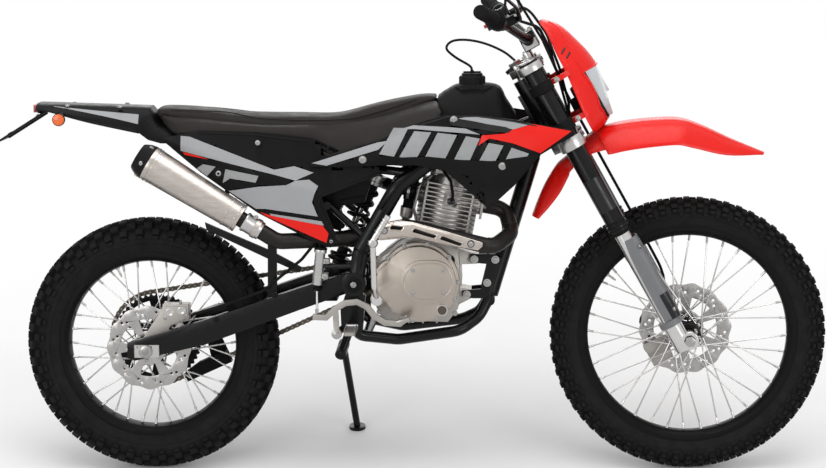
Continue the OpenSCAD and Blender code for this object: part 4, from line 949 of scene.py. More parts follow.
def make_wheel_details(name, body, place, rim_r, flange_r, flange_y, lip):
    """Spoke nipples, rim beads, valve and wheel bolts."""
    piece = Piece(name, body, place)
    count = 36
    step, swing = 2 * math.pi / count, math.radians(62)
    for k in range(count):
        s = 1 if k % 2 == 0 else -1
        lead = 1 if (k // 2) % 2 == 0 else -1
        a, inner, outer = k * step, flange_r + 2.2, rim_r - 26.9
        b = a - lead * swing
        foot = np.array([inner * math.cos(b), s * (flange_y + lead * 3.2), inner * math.sin(b)])
        tip = np.array([outer * math.cos(a), s * 3.5, outer * math.sin(a)])
        way = unit(tip - foot)
        piece.turned([(-15, 2.4), (-13, 3.1), (-1, 3.1), (0.6, 4.2)], tip, way, "machined", 10)
        piece.turned([(-2, 2.3), (5, 2.1)], foot, way, "polished", 8)
    for s in (1, -1):
        path = [((rim_r - 0.8) * math.cos(a), s * (lip - 0.6), (rim_r - 0.8) * math.sin(a))
                for a in np.linspace(0, 2 * math.pi, 121)]
        piece.tube(path, 1.9, "satin_black", 8)
    valve = (rim_r - 26) * np.array([math.cos(2.0), 0, math.sin(2.0)])
    piece.turned([(-26, 2.4), (-20, 2.4), (-19, 3), (-4, 3), (-3, 6), (0, 6)], valve, valve,
                 "machined", 12)
    return piece


def make_wheels():
    make_tyre("rear_tyre_knobbly", "rear_tyre", "rear_wheel", REAR_AXLE, REAR_R, REAR_CROWN, 13,
              REAR_RIM_R, 31, 44, REAR_KNOBS)
    make_tyre("front_tyre_knobbly", "front_tyre", "front_wheel", FRONT_AXLE, FRONT_R, FRONT_CROWN,
              10, FRONT_RIM_R, 25, 64, FRONT_KNOBS)
    rear = make_wheel_details("rear_wheel_details", "rear_wheel", REAR_AXLE, REAR_RIM_R, 40, 26, 31)
    for k in range(6):
        a = k * math.pi / 3 + 0.3
        spot = np.array([math.cos(a), 0, math.sin(a)])
        rear.bolt(spot * 34 + np.array([0, -73.6, 0]), (0, -1, 0), 4.6, "bolt", 4)
        rear.bolt(spot * 37 + np.array([0, 73.6, 0]), (0, 1, 0), 5, "bolt", 6)
    rear.turned([(-3, 38), (1, 38), (3, 30), (3, 22)], (0, 55, 0), (0, 1, 0), "satin_black", 48)
    rear.build(slot=SLOTS["rear_hub"])
    front = make_wheel_details("front_wheel_details", "front_wheel", FRONT_AXLE, FRONT_RIM_R, 33, 26,
                               25)
    for k in range(6):
        a = k * math.pi / 3 + 0.3
        front.bolt(np.array([28 * math.cos(a), 61.6, 28 * math.sin(a)]), (0, 1, 0), 4.2, "bolt", 4)
    front.turned([(0, 33), (4, 32), (6, 26), (6, 18)], (0, -52, 0), (0, -1, 0), "satin_black", 48)
    front.build(slot=SLOTS["front_hub"])


# Chain of links round both sprockets, as the part's source runs it
CHAIN_PITCH, REAR_TEETH, FRONT_TEETH = 15.875, 48, 13
DRIVE = np.array([608, 505 - REAR_R])


def pitch_radius(teeth):
    return CHAIN_PITCH / (2 * math.sin(math.pi / teeth))


def chain_points(count):
    """Points evenly spaced along the chain's pitch line, in the rear axle's frame."""
    r1, r2 = pitch_radius(REAR_TEETH), pitch_radius(FRONT_TEETH)
    span = float(np.linalg.norm(DRIVE))
    slope = math.atan2(DRIVE[1], DRIVE[0])
    splay = math.asin((r1 - r2) / span)
    way = np.array([math.cos(slope), math.sin(slope)])
    top, low = slope + math.pi / 2 - splay, slope - math.pi / 2 + splay
    at = lambda centre, r, a: centre + r * np.array([math.cos(a), math.sin(a)])
    zero = np.zeros(2)
    path = [at(zero, r1, a) for a in np.linspace(top, low + 2 * math.pi, 90)]
    path += [at(zero, r1, low) + (at(DRIVE, r2, low) - at(zero, r1, low)) * t
             for t in np.linspace(0, 1, 60)[1:]]
    path += [at(DRIVE, r2, a) for a in np.linspace(low, top, 40)[1:]]
    path += [at(DRIVE, r2, top) + (at(zero, r1, top) - at(DRIVE, r2, top)) * t
             for t in np.linspace(0, 1, 60)[1:]]
    path = np.array(path)
    run = np.concatenate([[0], np.cumsum(np.linalg.norm(np.diff(path, axis=0), axis=1))])
    spots = np.linspace(0, run[-1], count, endpoint=False)
    return [np.array([np.interp(s, run, path[:, 0]), np.interp(s, run, path[:, 1])])
            for s in spots]


def make_chain():
    piece = Piece("chain_links", "chassis", BIKE_TO_ROW @ Matrix.Translation((0, 0, REAR_R)))
    count = 118
    points = chain_points(count)
    for k in range(count):
        p, q = points[k], points[(k + 1) % count]
        way = unit(q - p)
        side = np.array([-way[1], way[0]])
        long = np.linalg.norm(q - p)
        plate = []
        for a in np.linspace(-90, 90, 6):
            r = math.radians(a)
            plate.append(q + way * 5.9 * math.cos(r) + side * 5.9 * math.sin(r))
        plate.append((p + q) / 2 + side * 4.4)
        for a in np.linspace(90, 270, 6):
            r = math.radians(a)
            plate.append(p + way * 5.9 * math.cos(r) + side * 5.9 * math.sin(r))
        plate.append((p + q) / 2 - side * 4.4)
        y0 = 4.4 if k % 2 else 6.2
        for s in (1, -1):
            piece.slab([tuple(v) for v in plate], CHAIN_Y + s * y0, CHAIN_Y + s * (y0 + 1.7),
                       "chain_steel", chamfer=0.4)
        piece.turned([(-4.2, 5), (4.2, 5)], (p[0], CHAIN_Y, p[1]), (0, 1, 0), "chain_steel", 10)
        piece.turned([(-8.1, 2.4), (8.1, 2.4)], (p[0], CHAIN_Y, p[1]), (0, 1, 0), "steel", 8)
    piece.build("chain", angle=40)


SEAT = [[32, 928, 9, 60, 0.9], [60, 926, 13, 68, 0.85], [135, 914, 21, 78, 0.8],
        [263, 896, 25, 88, 0.8], [390, 894.4, 24, 92, 0.7], [492, 894.6, 24, 88, 0.7],
        [594, 910, 34, 70, 0.7], [690, 946, 16, 60, 0.8], [738, 958, 6, 46, 0.8]]


def make_seat():
    """A foam cushion under vinyl: the cover settles under a little pressure, then the seams."""
    piece = Piece("seat_cushion", "chassis")
    rows = spline(SEAT, 6)
    piece.rings(blob_rings(rows, 0.5, 56), "seat_vinyl")
    cushion = piece.build("seat", angle=180)
    remesh = cushion.modifiers.new("remesh", "REMESH")
    remesh.mode = "VOXEL"
    remesh.voxel_size = 0.005
    remesh.use_smooth_shade = True
    apply_modifiers(cushion)
    settle(cushion)
    smooth = cushion.modifiers.new("smooth", "SMOOTH")
    smooth.iterations = 5
    fine = cushion.modifiers.new("fine", "SUBSURF")
    fine.levels = fine.render_levels = 1
    seams(cushion)


def apply_modifiers(piece):
    graph = bpy.context.evaluated_depsgraph_get()
    mesh = bpy.data.meshes.new_from_object(piece.evaluated_get(graph))
    finish = piece.data.materials[0]
    piece.modifiers.clear()
    piece.data = mesh
    if not mesh.materials:
        mesh.materials.append(finish)
    for face in mesh.polygons:
        face.use_smooth = True


def settle(cushion):
    """Blows the cover up against its seams and takes the shape it settles into."""
    rest = np.array([v.co[:] for v in cushion.data.vertices])
    local = np.array([(BIKE_TO_ROW.inverted() @ Vector(p))[:] for p in rest])
    low = np.interp(local[:, 0], [r[0] for r in SEAT], [r[1] - r[2] for r in SEAT])
    hold = np.clip(1 - (local[:, 2] - low) / 14, 0, 1)
    # The panel seams run along the top edges and stay down
    half = np.interp(local[:, 0], [r[0] for r in SEAT], [r[3] * r[4] for r in SEAT])
    seam = np.clip(1 - np.abs(np.abs(local[:, 1]) - half * 0.9) / 7, 0, 1)
    hold = np.maximum(hold, seam * 0.85)
    pins = cushion.vertex_groups.new(name="pins")
    for i, weight in enumerate(hold):
        if weight > 0:
            pins.add([i], float(weight), "REPLACE")
    cloth = cushion.modifiers.new("cloth", "CLOTH")
    cloth.settings.quality = 5
    cloth.settings.mass = 0.25
    cloth.settings.tension_stiffness = cloth.settings.compression_stiffness = 12
    cloth.settings.bending_stiffness = 1.5
    cloth.settings.use_pressure = True
    cloth.settings.uniform_pressure_force = 4
    cloth.settings.vertex_group_mass = "pins"
    cloth.settings.effector_weights.gravity = 0
    cloth.collision_settings.use_collision = False
    cloth.point_cache.frame_start, cloth.point_cache.frame_end = 1, 20
    scene = bpy.context.scene
    for frame_number in range(1, 21):
        scene.frame_set(frame_number)
    graph = bpy.context.evaluated_depsgraph_get()
    mesh = bpy.data.meshes.new_from_object(cushion.evaluated_get(graph))
    moved = np.array([v.co[:] for v in mesh.vertices])
    step = moved - rest
    size = np.linalg.norm(step, axis=1, keepdims=True)
    step *= np.minimum(1, 0.006 / np.maximum(size, 1e-9))
    cushion.modifiers.clear()
    scene.frame_set(1)
    for vertex, at in zip(cushion.data.vertices, rest + step):
        vertex.co = at
    bpy.data.meshes.remove(mesh)


def seams(cushion):
    """Two stitched seams on each side of the seat, laid on the finished cover."""
    from mathutils.bvhtree import BVHTree
    graph = bpy.context.evaluated_depsgraph_get()
    tree = BVHTree.FromObject(cushion, graph)
    back = BIKE_TO_ROW.inverted()
    across = BIKE_TO_ROW.to_3x3() @ Vector((0, 1, 0))
    across.normalize()
    piece = Piece("seat_seams", "chassis")
    lines = [[(70, 934), (201, 926), (300, 911), (410, 906), (519, 908), (600, 926), (690, 955)],
             [(120, 903), (218, 884), (330, 880), (420, 879), (520, 882), (590, 886)]]
    def on_cover(x, z, side, out):
        """The point on the cover seen from one side, out mm off it."""
        hit, normal = tree.ray_cast(to_row((x, side * 140, z)), -side * across)[:2]
        return hit and tuple(back @ (hit + normal * out * 0.001))

    for line in lines:
        for s in (1, -1):
            points = spline(line, 10)
            path = [p for p in (on_cover(x, z, s, 0.3) for x, z in points) if p]
            if len(path) > 3:
                piece.tube(path, 1.5, "seat_vinyl", 8)
            stitches = [p for p in (on_cover(x, z - 3.4, s, 0.2) for x, z in points) if p]
            for a, b in zip(stitches, stitches[1:]):
                a, b = np.array(a), np.array(b)
                for t in (0.1, 0.6):
                    piece.tube([a + (b - a) * t, a + (b - a) * (t + 0.3)], 0.55, "rubber", 5)
    # The base's black plastic edge
    for s in (1, -1):
        edge = [(x, s * (w - 2), z - h + 3) for x, z, h, w, top in spline(SEAT, 5)]
        piece.tube(edge[2:-3], 3, "black_plastic", 8)
    piece.build(slot=SLOTS["seat"])


# Engine, exhaust and what hangs on them
COVERS = [(694, 500, 100), (642, 502, 62)]
KICK = (590, 462)


def cover_edge(inset, steps=96):
    """The outline of the right cover, the two circles' union, drawn in by inset."""
    out = []
    cx, cz = 676, 501
    for k in range(steps):
        a = 2 * math.pi * k / steps
        best = 0
        for x, z, r in COVERS:
            dx, dz = x - cx, z - cz
            b = dx * math.cos(a) + dz * math.sin(a)
            c = dx * dx + dz * dz - (r - inset) ** 2
            if b * b >= c:
                best = max(best, b + math.sqrt(b * b - c))
        out.append((cx + best * math.cos(a), cz + best * math.sin(a)))
    return out


def make_engine_details():
    piece = Piece("engine_details", "chassis")
    face = -(CASE_HALF + 52)
    step = -(CASE_HALF + 31.2)
    # Right cover: seam, rim bolts, raised oval with its screws, filler, sight glass
    rim = cover_edge(-1.2)
    piece.tube([(x, -88.5, z) for x, z in rim + rim[:1]], 1.8, "cast_alloy", 8)
    lip = cover_edge(6.4)
    piece.tube([(x, step + 0.2, z) for x, z in lip + lip[:1]], 1.6, "warm_cover", 8)
    for k in range(0, 96, 9):
        x, z = cover_edge(2.5)[k]
        piece.turned([(-6, 7.5), (4, 7), (5.2, 6)], (x, step + 6, z), (0, -1, 0), "warm_cover", 20)
        piece.bolt((x, step - 0.4, z), (0, -1, 0), 4.4, "bolt", 4.5)
    oval = []
    for a in np.linspace(-math.pi / 2, math.pi / 2, 14):
        oval.append((718 + 14.5 + 46 * math.cos(a), 507 + 46 * math.sin(a)))
    for a in np.linspace(math.pi / 2, 3 * math.pi / 2, 14):
        oval.append((718 - 14.5 + 46 * math.cos(a), 507 + 46 * math.sin(a)))
    piece.tube([(x, face - 9.2, z) for x, z in oval + oval[:1]], 1.5, "warm_cover", 8)
    for k in (3, 10, 17, 24):
        x, z = oval[k]
        piece.bolt((x + (718 - x) * 0.16, face - 9, z + (507 - z) * 0.16), (0, -1, 0), 4, "bolt", 3)
    piece.turned([(0, 14.6), (2.6, 14), (3, 11.4), (1, 10.6)], (752, face - 4, 434), (0, -1, 0),
                 "machined", 36)
    piece.turned([(0, 10.8), (0.8, 10.6), (1.2, 0.01)], (752, face - 4.6, 434), (0, -1, 0),
                 "glass_oil", 32)
    piece.turned([(-6, 15), (6, 15), (8, 13), (8, 6), (12, 6), (13, 5)], (768, -98, 552),
                 (0.2, -1, 0.5), "black_plastic", 32)
    piece.turned([(0, 12), (2, 12), (3, 10), (3, 5), (5, 5)], (KICK[0], face - 4, KICK[1]),
                 (0, -1, 0), "machined", 32)
    # Left cover round the flywheel and the case's edge
    piece.turned([(0, 60), (2, 58), (4, 48), (3, 40), (6, 38), (7, 12), (5, 10)],
                 (712, CASE_HALF + 33, 500), (0, 1, 0), "warm_cover", 64)
    for k in range(6):
        a = k * math.pi / 3
        piece.bolt((712 + 55 * math.cos(a), CASE_HALF + 34, 500 + 55 * math.sin(a)), (0, 1, 0), 4.4)
    # Case joints, ribs and drain plug
    case = [(574, 452), (600, 400), (764, 394), (790, 428), (796, 500), (790, 596), (702, 616),
            (640, 590), (585, 548)]
    piece.tube([(x, 0, z) for x, z in rounded_outline(case, 10)], 3, "cast_alloy", 8)
    for x in (630, 665, 700, 735):
        piece.box((x - 2, -70, 388), (x + 2, 70, 402), "cast_alloy")
    piece.turned([(0, 11), (5, 11), (6, 9)], (690, 20, 397), (0, 0, -1), "bolt", 6)
    for s in (1, -1):
        for x, z in ((590, 420), (594, 540), (782, 415), (784, 590)):
            piece.turned([(0, 6.5), (8, 6.2), (9, 5)], (x, s * 76, z), (0, s, 0), "cast_alloy", 20)
    piece.build(slot=SLOTS["engine_covers"])


def rounded_outline(outline, radius):
    points = [(x, 0, z) for x, z in outline]
    loop = rounded(points[-1:] + points + points[:2], radius, 4)
    return [(p[0], p[2]) for p in loop[4:-1]]


def make_cylinder_details():
    piece = Piece("cylinder_details", "chassis", CYLINDER)
    top = 12 * 11 + 22
    # Head: cam covers, bolts, plug cap and its lead
    piece.turned([(0, 56), (5, 54), (7, 46)], (0, 0, top - 0.5), (0, 0, 1), "fin_alloy", 48)
    for x in (-34, 34):
        piece.slab([(x - 19, top), (x - 16, top + 13), (x + 16, top + 13), (x + 19, top)],
                   -40, 40, "fin_alloy", chamfer=3)
        for y in (-28, 28):
            piece.bolt((x, y, top + 13), (0, 0, 1), 4.4)
    for x, y in ((-44, -38), (44, -38), (-44, 38), (44, 38)):
        piece.turned([(0, 8), (3, 8), (4, 6.5), (14, 6.5), (15, 5)], (x, y, top), (0, 0, 1),
                     "bolt", 6)
    # Webs between the fins at their corners
    for x in (-58, 60):
        for y in (-58, 58):
            piece.tube([(x, y, 10), (x, y, top - 16)], 4.2, "fin_alloy", 12)
    piece.turned([(0, 9), (4, 9), (5, 7.4), (26, 7), (28, 8.6), (36, 8.6), (38, 5)],
                 (6, -56, 96), (0.1, -1, 0.15), "gloss_black", 24)
    piece.tube([(9.4, -90, 101), (10, -96, 118), (-2, -86, 150), (-30, -64, 176), (-60, -42, 186)],
               3.8, "rubber", 10, 18)
    # Intake clamp and manifold, exhaust flange with its nuts
    piece.turned([(0, 26.5), (9, 26.5)], (-62, 0, 98), (-1, 0, 0), "machined", 40)
    piece.turned([(0, 27.6), (7, 27.6)], (-100, 0, 98), (-1, 0, 0), "machined", 40)
    piece.box((-84, -31, 95), (-76, -25, 101), "bolt")
    piece.slab([(84, 64), (90.2, 66), (90.2, 130), (84, 132)], -54, 10, "cast_alloy", chamfer=2)
    for y in (-48, 4):
        piece.turned([(0, 5.5), (7, 5.5), (7.6, 3.4), (14, 3.4)], (90, y, 98), (1, 0, 0), "bolt", 6)
    # Cooling-oil line along the cylinder
    piece.tube([(-70, -40, 30), (-82, -46, 60), (-78, -44, 120), (-52, -36, 150)], 4, "steel", 10,
               16)
    # Float bowl and its fittings
    piece.turned([(0, 17), (2, 18), (26, 16), (32, 10), (36, 6)], (-99, 0, 56), (0, 0, -1),
                 "cast_alloy", 28)
    piece.turned([(0, 10), (4, 10), (6, 7)], (-99, -18, 98), (0, -1, 0), "machined", 20)
    piece.turned([(0, 16), (2, 17), (28, 16), (30, 12)], (-99, 0, 118), (0, 0, 1), "gloss_black",
                 28)
    piece.build(slot=SLOTS["engine_cylinder"])


MUFFLER_FRONT, MUFFLER_BACK = np.array([250, -143, 668]), np.array([26, -140, 808])
MUFFLER_WAY = unit(MUFFLER_FRONT - MUFFLER_BACK)
EXHAUST_LEAN = math.radians(11)
PORT_WAY = np.array([math.cos(EXHAUST_LEAN), 0, -math.sin(EXHAUST_LEAN)])
PORT = np.array([748 + 90.3 * math.cos(EXHAUST_LEAN) + 98 * math.sin(EXHAUST_LEAN), -22,
                 604 + 98 * math.cos(EXHAUST_LEAN) - 90.3 * math.sin(EXHAUST_LEAN)])
PIPE = [PORT, PORT + PORT_WAY * 56, [926, -76, 618], [880, -139, 592], [692, -150, 641],
        [660, -122, 642], [622, -94, 632], [560, -88, 618], [500, -88, 608], [440, -108, 608],
        MUFFLER_FRONT + MUFFLER_WAY * 110, MUFFLER_FRONT + MUFFLER_WAY * 0.3]


def make_exhaust():
    pipe = Piece("exhaust_pipe", "chassis")
    pipe.tube(rounded(PIPE, 45, 10), 20, "dark_pipe", 32)
    path = rounded(PIPE, 45, 10)
    # Weld beads, and the sleeve before the silencer with its band and bolt
    for k in (12, 30, 52, 70):
        if k < len(path) - 1:
            a, b = np.array(path[k]), np.array(path[k + 1])
            pipe.turned([(-2, 20), (-1, 21), (1, 21), (2, 20)], a, unit(b - a), "dark_pipe", 28)
    end = MUFFLER_FRONT + MUFFLER_WAY * 62
    pipe.turned([(0, 22.4), (2, 23.6), (40, 23.6), (44, 25.5), (48, 25.5), (50, 22.4)], end,
                -MUFFLER_WAY, "machined", 40)
    pipe.turned([(0, 25.8), (12, 25.8)], end - MUFFLER_WAY * 8, -MUFFLER_WAY, "brushed", 40)
    pipe.bolt(end + np.array([0, 0, 28]) - MUFFLER_WAY * 14, (0, -1, 0.2), 4.4, "bolt", 8)
    pipe.build("header_pipe", angle=40)
    can = Piece("muffler_details", "chassis")
    # Front cone's seam and bands with rivets
    span = float(np.linalg.norm(MUFFLER_FRONT - MUFFLER_BACK))
    def radius(s):
        return 36 + 9 * s / span
    for s in (2, 34, span - 8):
        can.turned([(-3, radius(s)), (-2.4, radius(s) + 1.3), (2.4, radius(s) + 1.3),
                    (3, radius(s))], MUFFLER_FRONT - MUFFLER_WAY * s, MUFFLER_WAY, "brushed", 56)
    u = unit(np.cross(MUFFLER_WAY, [0, 1, 0]))
    w = np.cross(MUFFLER_WAY, u)
    for s in (10, span - 16):
        for k in range(12):
            a = k * math.pi / 6
            way = u * math.cos(a) + w * math.sin(a)
            can.turned([(0, 2.6), (0.8, 2.3), (1.3, 1.2)],
                       MUFFLER_FRONT - MUFFLER_WAY * s + way * (radius(s) + 0.6), way, "machined",
                       10)
    can.build(slot=SLOTS["muffler"])
    cap = Piece("muffler_end_cap", "chassis")
    back = MUFFLER_BACK - MUFFLER_WAY * 0.3
    levels = []
    for s, share, out in [(0, 1, 45.4), (3, 1, 45.6), (16, 0.985, 43), (29, 0.92, 36.5),
                          (33.4, 0.9, 33), (33.6, 0.85, 20), (24, 0.8, 18), (14, 0.8, 17)]:
        ring = []
        for k in range(40):
            a = 2 * math.pi * k / 40
            r = out if s < 3 or out < 25 else out * (1 - 0.05 * (1 - abs(math.cos(a * 4))))
            ring.append(back - MUFFLER_WAY * s + (u * math.cos(a) + w * math.sin(a)) * r)
        levels.append(ring)
    cap.rings(levels, "black_plastic")
    cap.turned([(14, 16.4), (35, 16.4), (35, 14.6), (14, 14.6)], back, -MUFFLER_WAY, "dark_pipe",
               36)
    for k in range(5):
        a = 2 * math.pi * k / 5 + 0.4
        way = u * math.cos(a) + w * math.sin(a)
        cap.bolt(back - MUFFLER_WAY * 12 + way * 42.5, way, 4, "bolt", 2.6)
    cap.build("muffler_cap", angle=24)
    make_heat_shield()


SHIELD = [[590, 634, 5, -150], [602, 635, 19, -150], [651, 641, 21, -150], [681, 642, 17, -150],
          [762, 620.5, 15.5, -147], [843, 600, 10, -143], [853, 603, 4, -143]]
SLOTS_AT = [(628, 648, 30, -4), (684, 641, 58, -17), (752, 622, 54, -20)]


def make_heat_shield():
    """A stamped shield with pressed rims round its slots."""
    table = np.array(SHIELD, float)

    def place(x, z, out, side):
        mid, centre = (float(np.interp(x, table[:, 0], table[:, k])) for k in (1, 3))
        h = min(abs(z - mid), 23)
        return (x, centre - math.sqrt(25 * 25 - h * h) - out, z)
    outline = [(r[0], r[1] - r[2]) for r in SHIELD] + [(r[0], r[1] + r[2]) for r in SHIELD[::-1]]
    holes, rims = [], []
    for x, z, long, angle in SLOTS_AT:
        c, s = math.cos(math.radians(angle)), math.sin(math.radians(angle))
        for grow, into in ((0, holes), (2.2, rims)):
            box = [(-grow, -5 - grow), (long + grow - 4, -5 - grow), (long + grow, -1),
                   (long + grow, 3 + grow), (4 - grow, 5 + grow), (-grow, 1)]
            into.append([(x + a * c - b * s, z + a * s + b * c) for a, b in box])
    piece = Piece("heat_shield_stamped", "chassis")
    film(piece, outline, place, "stamped", lift=0, thick=2.6, holes=holes, grid=6, sides=(1,))
    for rim in rims:
        path = [place(a, b, 0.2, 1) for a, b in linear(rim + rim[:1], 5)]
        piece.tube(path, 1.7, "stamped", 8)
    edge = [place(a, b, -0.6, 1) for a, b in linear(outline + outline[:1], 4)]
    piece.tube(edge, 1.6, "stamped", 8)
    for x, z in ((612, 640), (826, 605)):
        at = place(x, z, 0.5, 1)
        piece.turned([(-1, 9), (0.6, 9), (1.2, 7)], at, (0, -1, 0), "rubber", 24)
        piece.bolt(place(x, z, 1.5, 1), (0, -1, 0), 5, "bolt", 4)
    piece.build("heat_shield", angle=40)


def make_shock():
    piece = Piece("shock_and_spring", "chassis")
    top, low = np.array([590, 0, 785.0]), np.array([470, 0, 512.0])
    way = unit(top - low)
    span = float(np.linalg.norm(top - low))
    piece.tube([low + way * 20, low + way * 70], 14, "satin_black", 24)
    piece.tube([low, top], 9, "polished", 20)
    piece.tube([top - way * 118, top - way * 22], 20, "satin_black", 32)
    piece.turned([(0, 30), (4, 30), (6, 26), (12, 26)], low + way * 30, way, "satin_black", 40)
    piece.turned([(0, 30), (8, 30), (9, 27), (16, 27), (17, 30), (26, 30)], top - way * 50, way,
                 "machined", 40)
    # Spring
    turns, first, last = 7.2, 44, span - 54
    u = unit(np.cross(way, [0, 1, 0]))
    w = np.cross(way, u)
    coil = []
    for k in range(int(turns * 24) + 1):
        t = k / (turns * 24)
        a = 2 * math.pi * turns * t
        coil.append(low + way * (first + (last - first) * t) + (u * math.cos(a)
                                                                + w * math.sin(a)) * 24.4)
    piece.tube(coil, 4.6, "satin_black", 10)
    for at, r, half in ((top, 19, 13), (low, 15, 13)):
        piece.turned([(-half, r - 1), (-half + 1, r), (half - 1, r), (half, r - 1)], at, (0, 1, 0),
                     "satin_black", 36)
    piece.build("shock", angle=36)


def make_air_intake():
    piece = Piece("air_box_details", "chassis")
    for s in (1, -1):
        for z in (712, 748, 782):
            piece.tube([(498, s * 92.4, z - 6), (556, s * 92.4, z + 4)], 2.6, "black_plastic", 8)
        piece.box((446, s * 93 if s > 0 else -95, 676), (470, 95 if s > 0 else s * 93, 790),
                  "black_plastic")
        for z in (690, 776):
            piece.bolt((458, s * 95, z), (0, s, 0), 4.4, "bolt", 3)
    piece.build(slot=SLOTS["air_box"])


# Frame, controls and the other fittings of the chassis
PIVOT = (532, 501)
SPAR = [[978, 18, 887], [860, 78, 836], [720, 112, 800], [645, 130, 745], [548, 134, 580],
        [528, 134, 431]]
PLATE_BOLTS = [(884, 546), (863, 487), (831, 547), (811, 457)]


def make_frame_details():
    piece = Piece("frame_details", "chassis")
    for s in (1, -1):
        piece.turned([(0, 21), (1.5, 20), (3, 20), (4, 17), (4, 12), (2.6, 11), (2.6, 0.01)],
                     (PIVOT[0], s * 150, PIVOT[1]), (0, s, 0), "satin_black", 48)
        piece.turned([(0, 8), (3, 8), (3.6, 6)], (PIVOT[0], s * 152, PIVOT[1]), (0, s, 0),
                     "steel", 6)
        for x, z in PLATE_BOLTS:
            piece.bolt((x, s * 42, z), (0, s, 0), 7, "bolt", 4)
        # Weld beads round the tubes
        for at, way, r in (((870, 0, 458), (996 - 870, 0, 870 - 458), 21),
                           ((1000, 0, 868), (996 - 870, 0, 870 - 458), 21)):
            piece.turned([(-3, r - 1), (-1.5, r + 0.8), (1.5, r + 0.8), (3, r - 1)], at, way,
                         "frame_paint", 32)
        path = rounded([(x, s * y, z) for x, y, z in SPAR], 70)
        for k in (2, 12, 24):
            if k < len(path) - 1:
                a, b = np.array(path[k]), np.array(path[k + 1])
                piece.turned([(-3, 18), (-1, 20.4), (1, 20.4), (3, 18)], a, unit(b - a),
                             "frame_paint", 28)
        piece.bolt((300, s * (151 if s > 0 else 151), 858), (0, s, 0), 4.4, "bolt", 3)
    # Strip that guards the down tube
    down = [np.array([874, 0, 470]), np.array([990, 0, 850])]
    way = unit(down[1] - down[0])
    ahead = unit(np.cross([0, 1, 0], way))
    if ahead[0] < 0:
        ahead = -ahead
    for side in (1, -1):
        piece.tube([down[0] + ahead * 17 + np.array([0, side * 9, 0]),
                    down[1] + ahead * 17 + np.array([0, side * 9, 0])], 2.6, "black_plastic", 8)
    rings = []
    for t in np.linspace(0, 1, 12):
        at = down[0] + (down[1] - down[0]) * t
        rings.append([at + ahead * (20.4 * math.cos(a) + 1.2) + np.array([0, 20.4 * math.sin(a), 0])
                      for a in np.linspace(-1.0, 1.0, 9)]
                     + [at + ahead * (20.2 * math.cos(a)) + np.array([0, 20.2 * math.sin(a), 0])
                        for a in np.linspace(1.0, -1.0, 9)])
    piece.rings(rings, "black_plastic")
    # A cable along the spar
    piece.tube([(970, -34, 872), (860, -98, 852), (722, -134, 812), (650, -152, 752),
                (598, -156, 690)], 3.4, "rubber", 8, 40)
    piece.build(slot=SLOTS["frame"])


def make_swingarm_details():
    piece = Piece("swingarm_details", "chassis")
    for s in (1, -1):
        # Axle block, adjuster bolt and lock nut at each end
        piece.box((-30, s * 118 if s > 0 else -123, REAR_R - 17), (34, 123 if s > 0 else s * 118,
                                                                  REAR_R + 17), "machined",
                  chamfer=2)
        piece.turned([(0, 15.5), (5, 15.5), (6, 13)], (0, s * 123, REAR_R), (0, s, 0), "bolt", 6)
        piece.turned([(-2, 5), (14, 5)], (-38, s * 104, REAR_R), (-1, 0, 0), "bolt", 12)
        piece.turned([(0, 8), (7, 8)], (-34, s * 104, REAR_R), (-1, 0, 0), "bolt", 6)
        for k in range(5):
            piece.box((-22 + k * 9, s * 123 - 0.4 if s > 0 else -124, REAR_R + 8),
                      (-20.6 + k * 9, 124 if s > 0 else s * 123 + 0.4, REAR_R + 14), "satin_black",
                      chamfer=0.3)
    for x, z in ((330, 470), (180, 408)):
        piece.turned([(0, 7), (2, 7), (3, 5)], (x, -118.4, z), (0, -1, 0), "black_plastic", 20)
    piece.build(slot=SLOTS["swingarm"])


def make_footpegs():
    piece = Piece("footpegs_cleated", "chassis")
    for s in (1, -1):
        y1, y2 = s * 149.3, s * 239.3
        piece.box((513, min(y1, y2), 387), (541, max(y1, y2), 397), "cast_alloy", chamfer=2)
        for k in range(10):
            y = y1 + s * (4 + k * 9.2)
            for x in (514.5, 539.5):
                piece.slab([(x - 1.4, 396), (x + 1.4, 396), (x + 0.6, 403), (x - 0.6, 403)],
                           min(y, y + s * 5), max(y, y + s * 5), "steel", chamfer=0.4)
        for x in (514.5, 539.5):
            piece.box((x - 1.4, min(y1, y2), 388), (x + 1.4, max(y1, y2), 398), "steel",
                      chamfer=0.4)
        for k in range(3):
            y = y1 + s * (20 + k * 27)
            piece.box((514, min(y, y + s * 3), 388), (540, max(y, y + s * 3), 399), "steel",
                      chamfer=0.4)
        piece.turned([(-15, 6.5), (15, 6.5)], (527, s * 154, 396), (1, 0, 0), "bolt", 16)
    piece.build("footpegs")


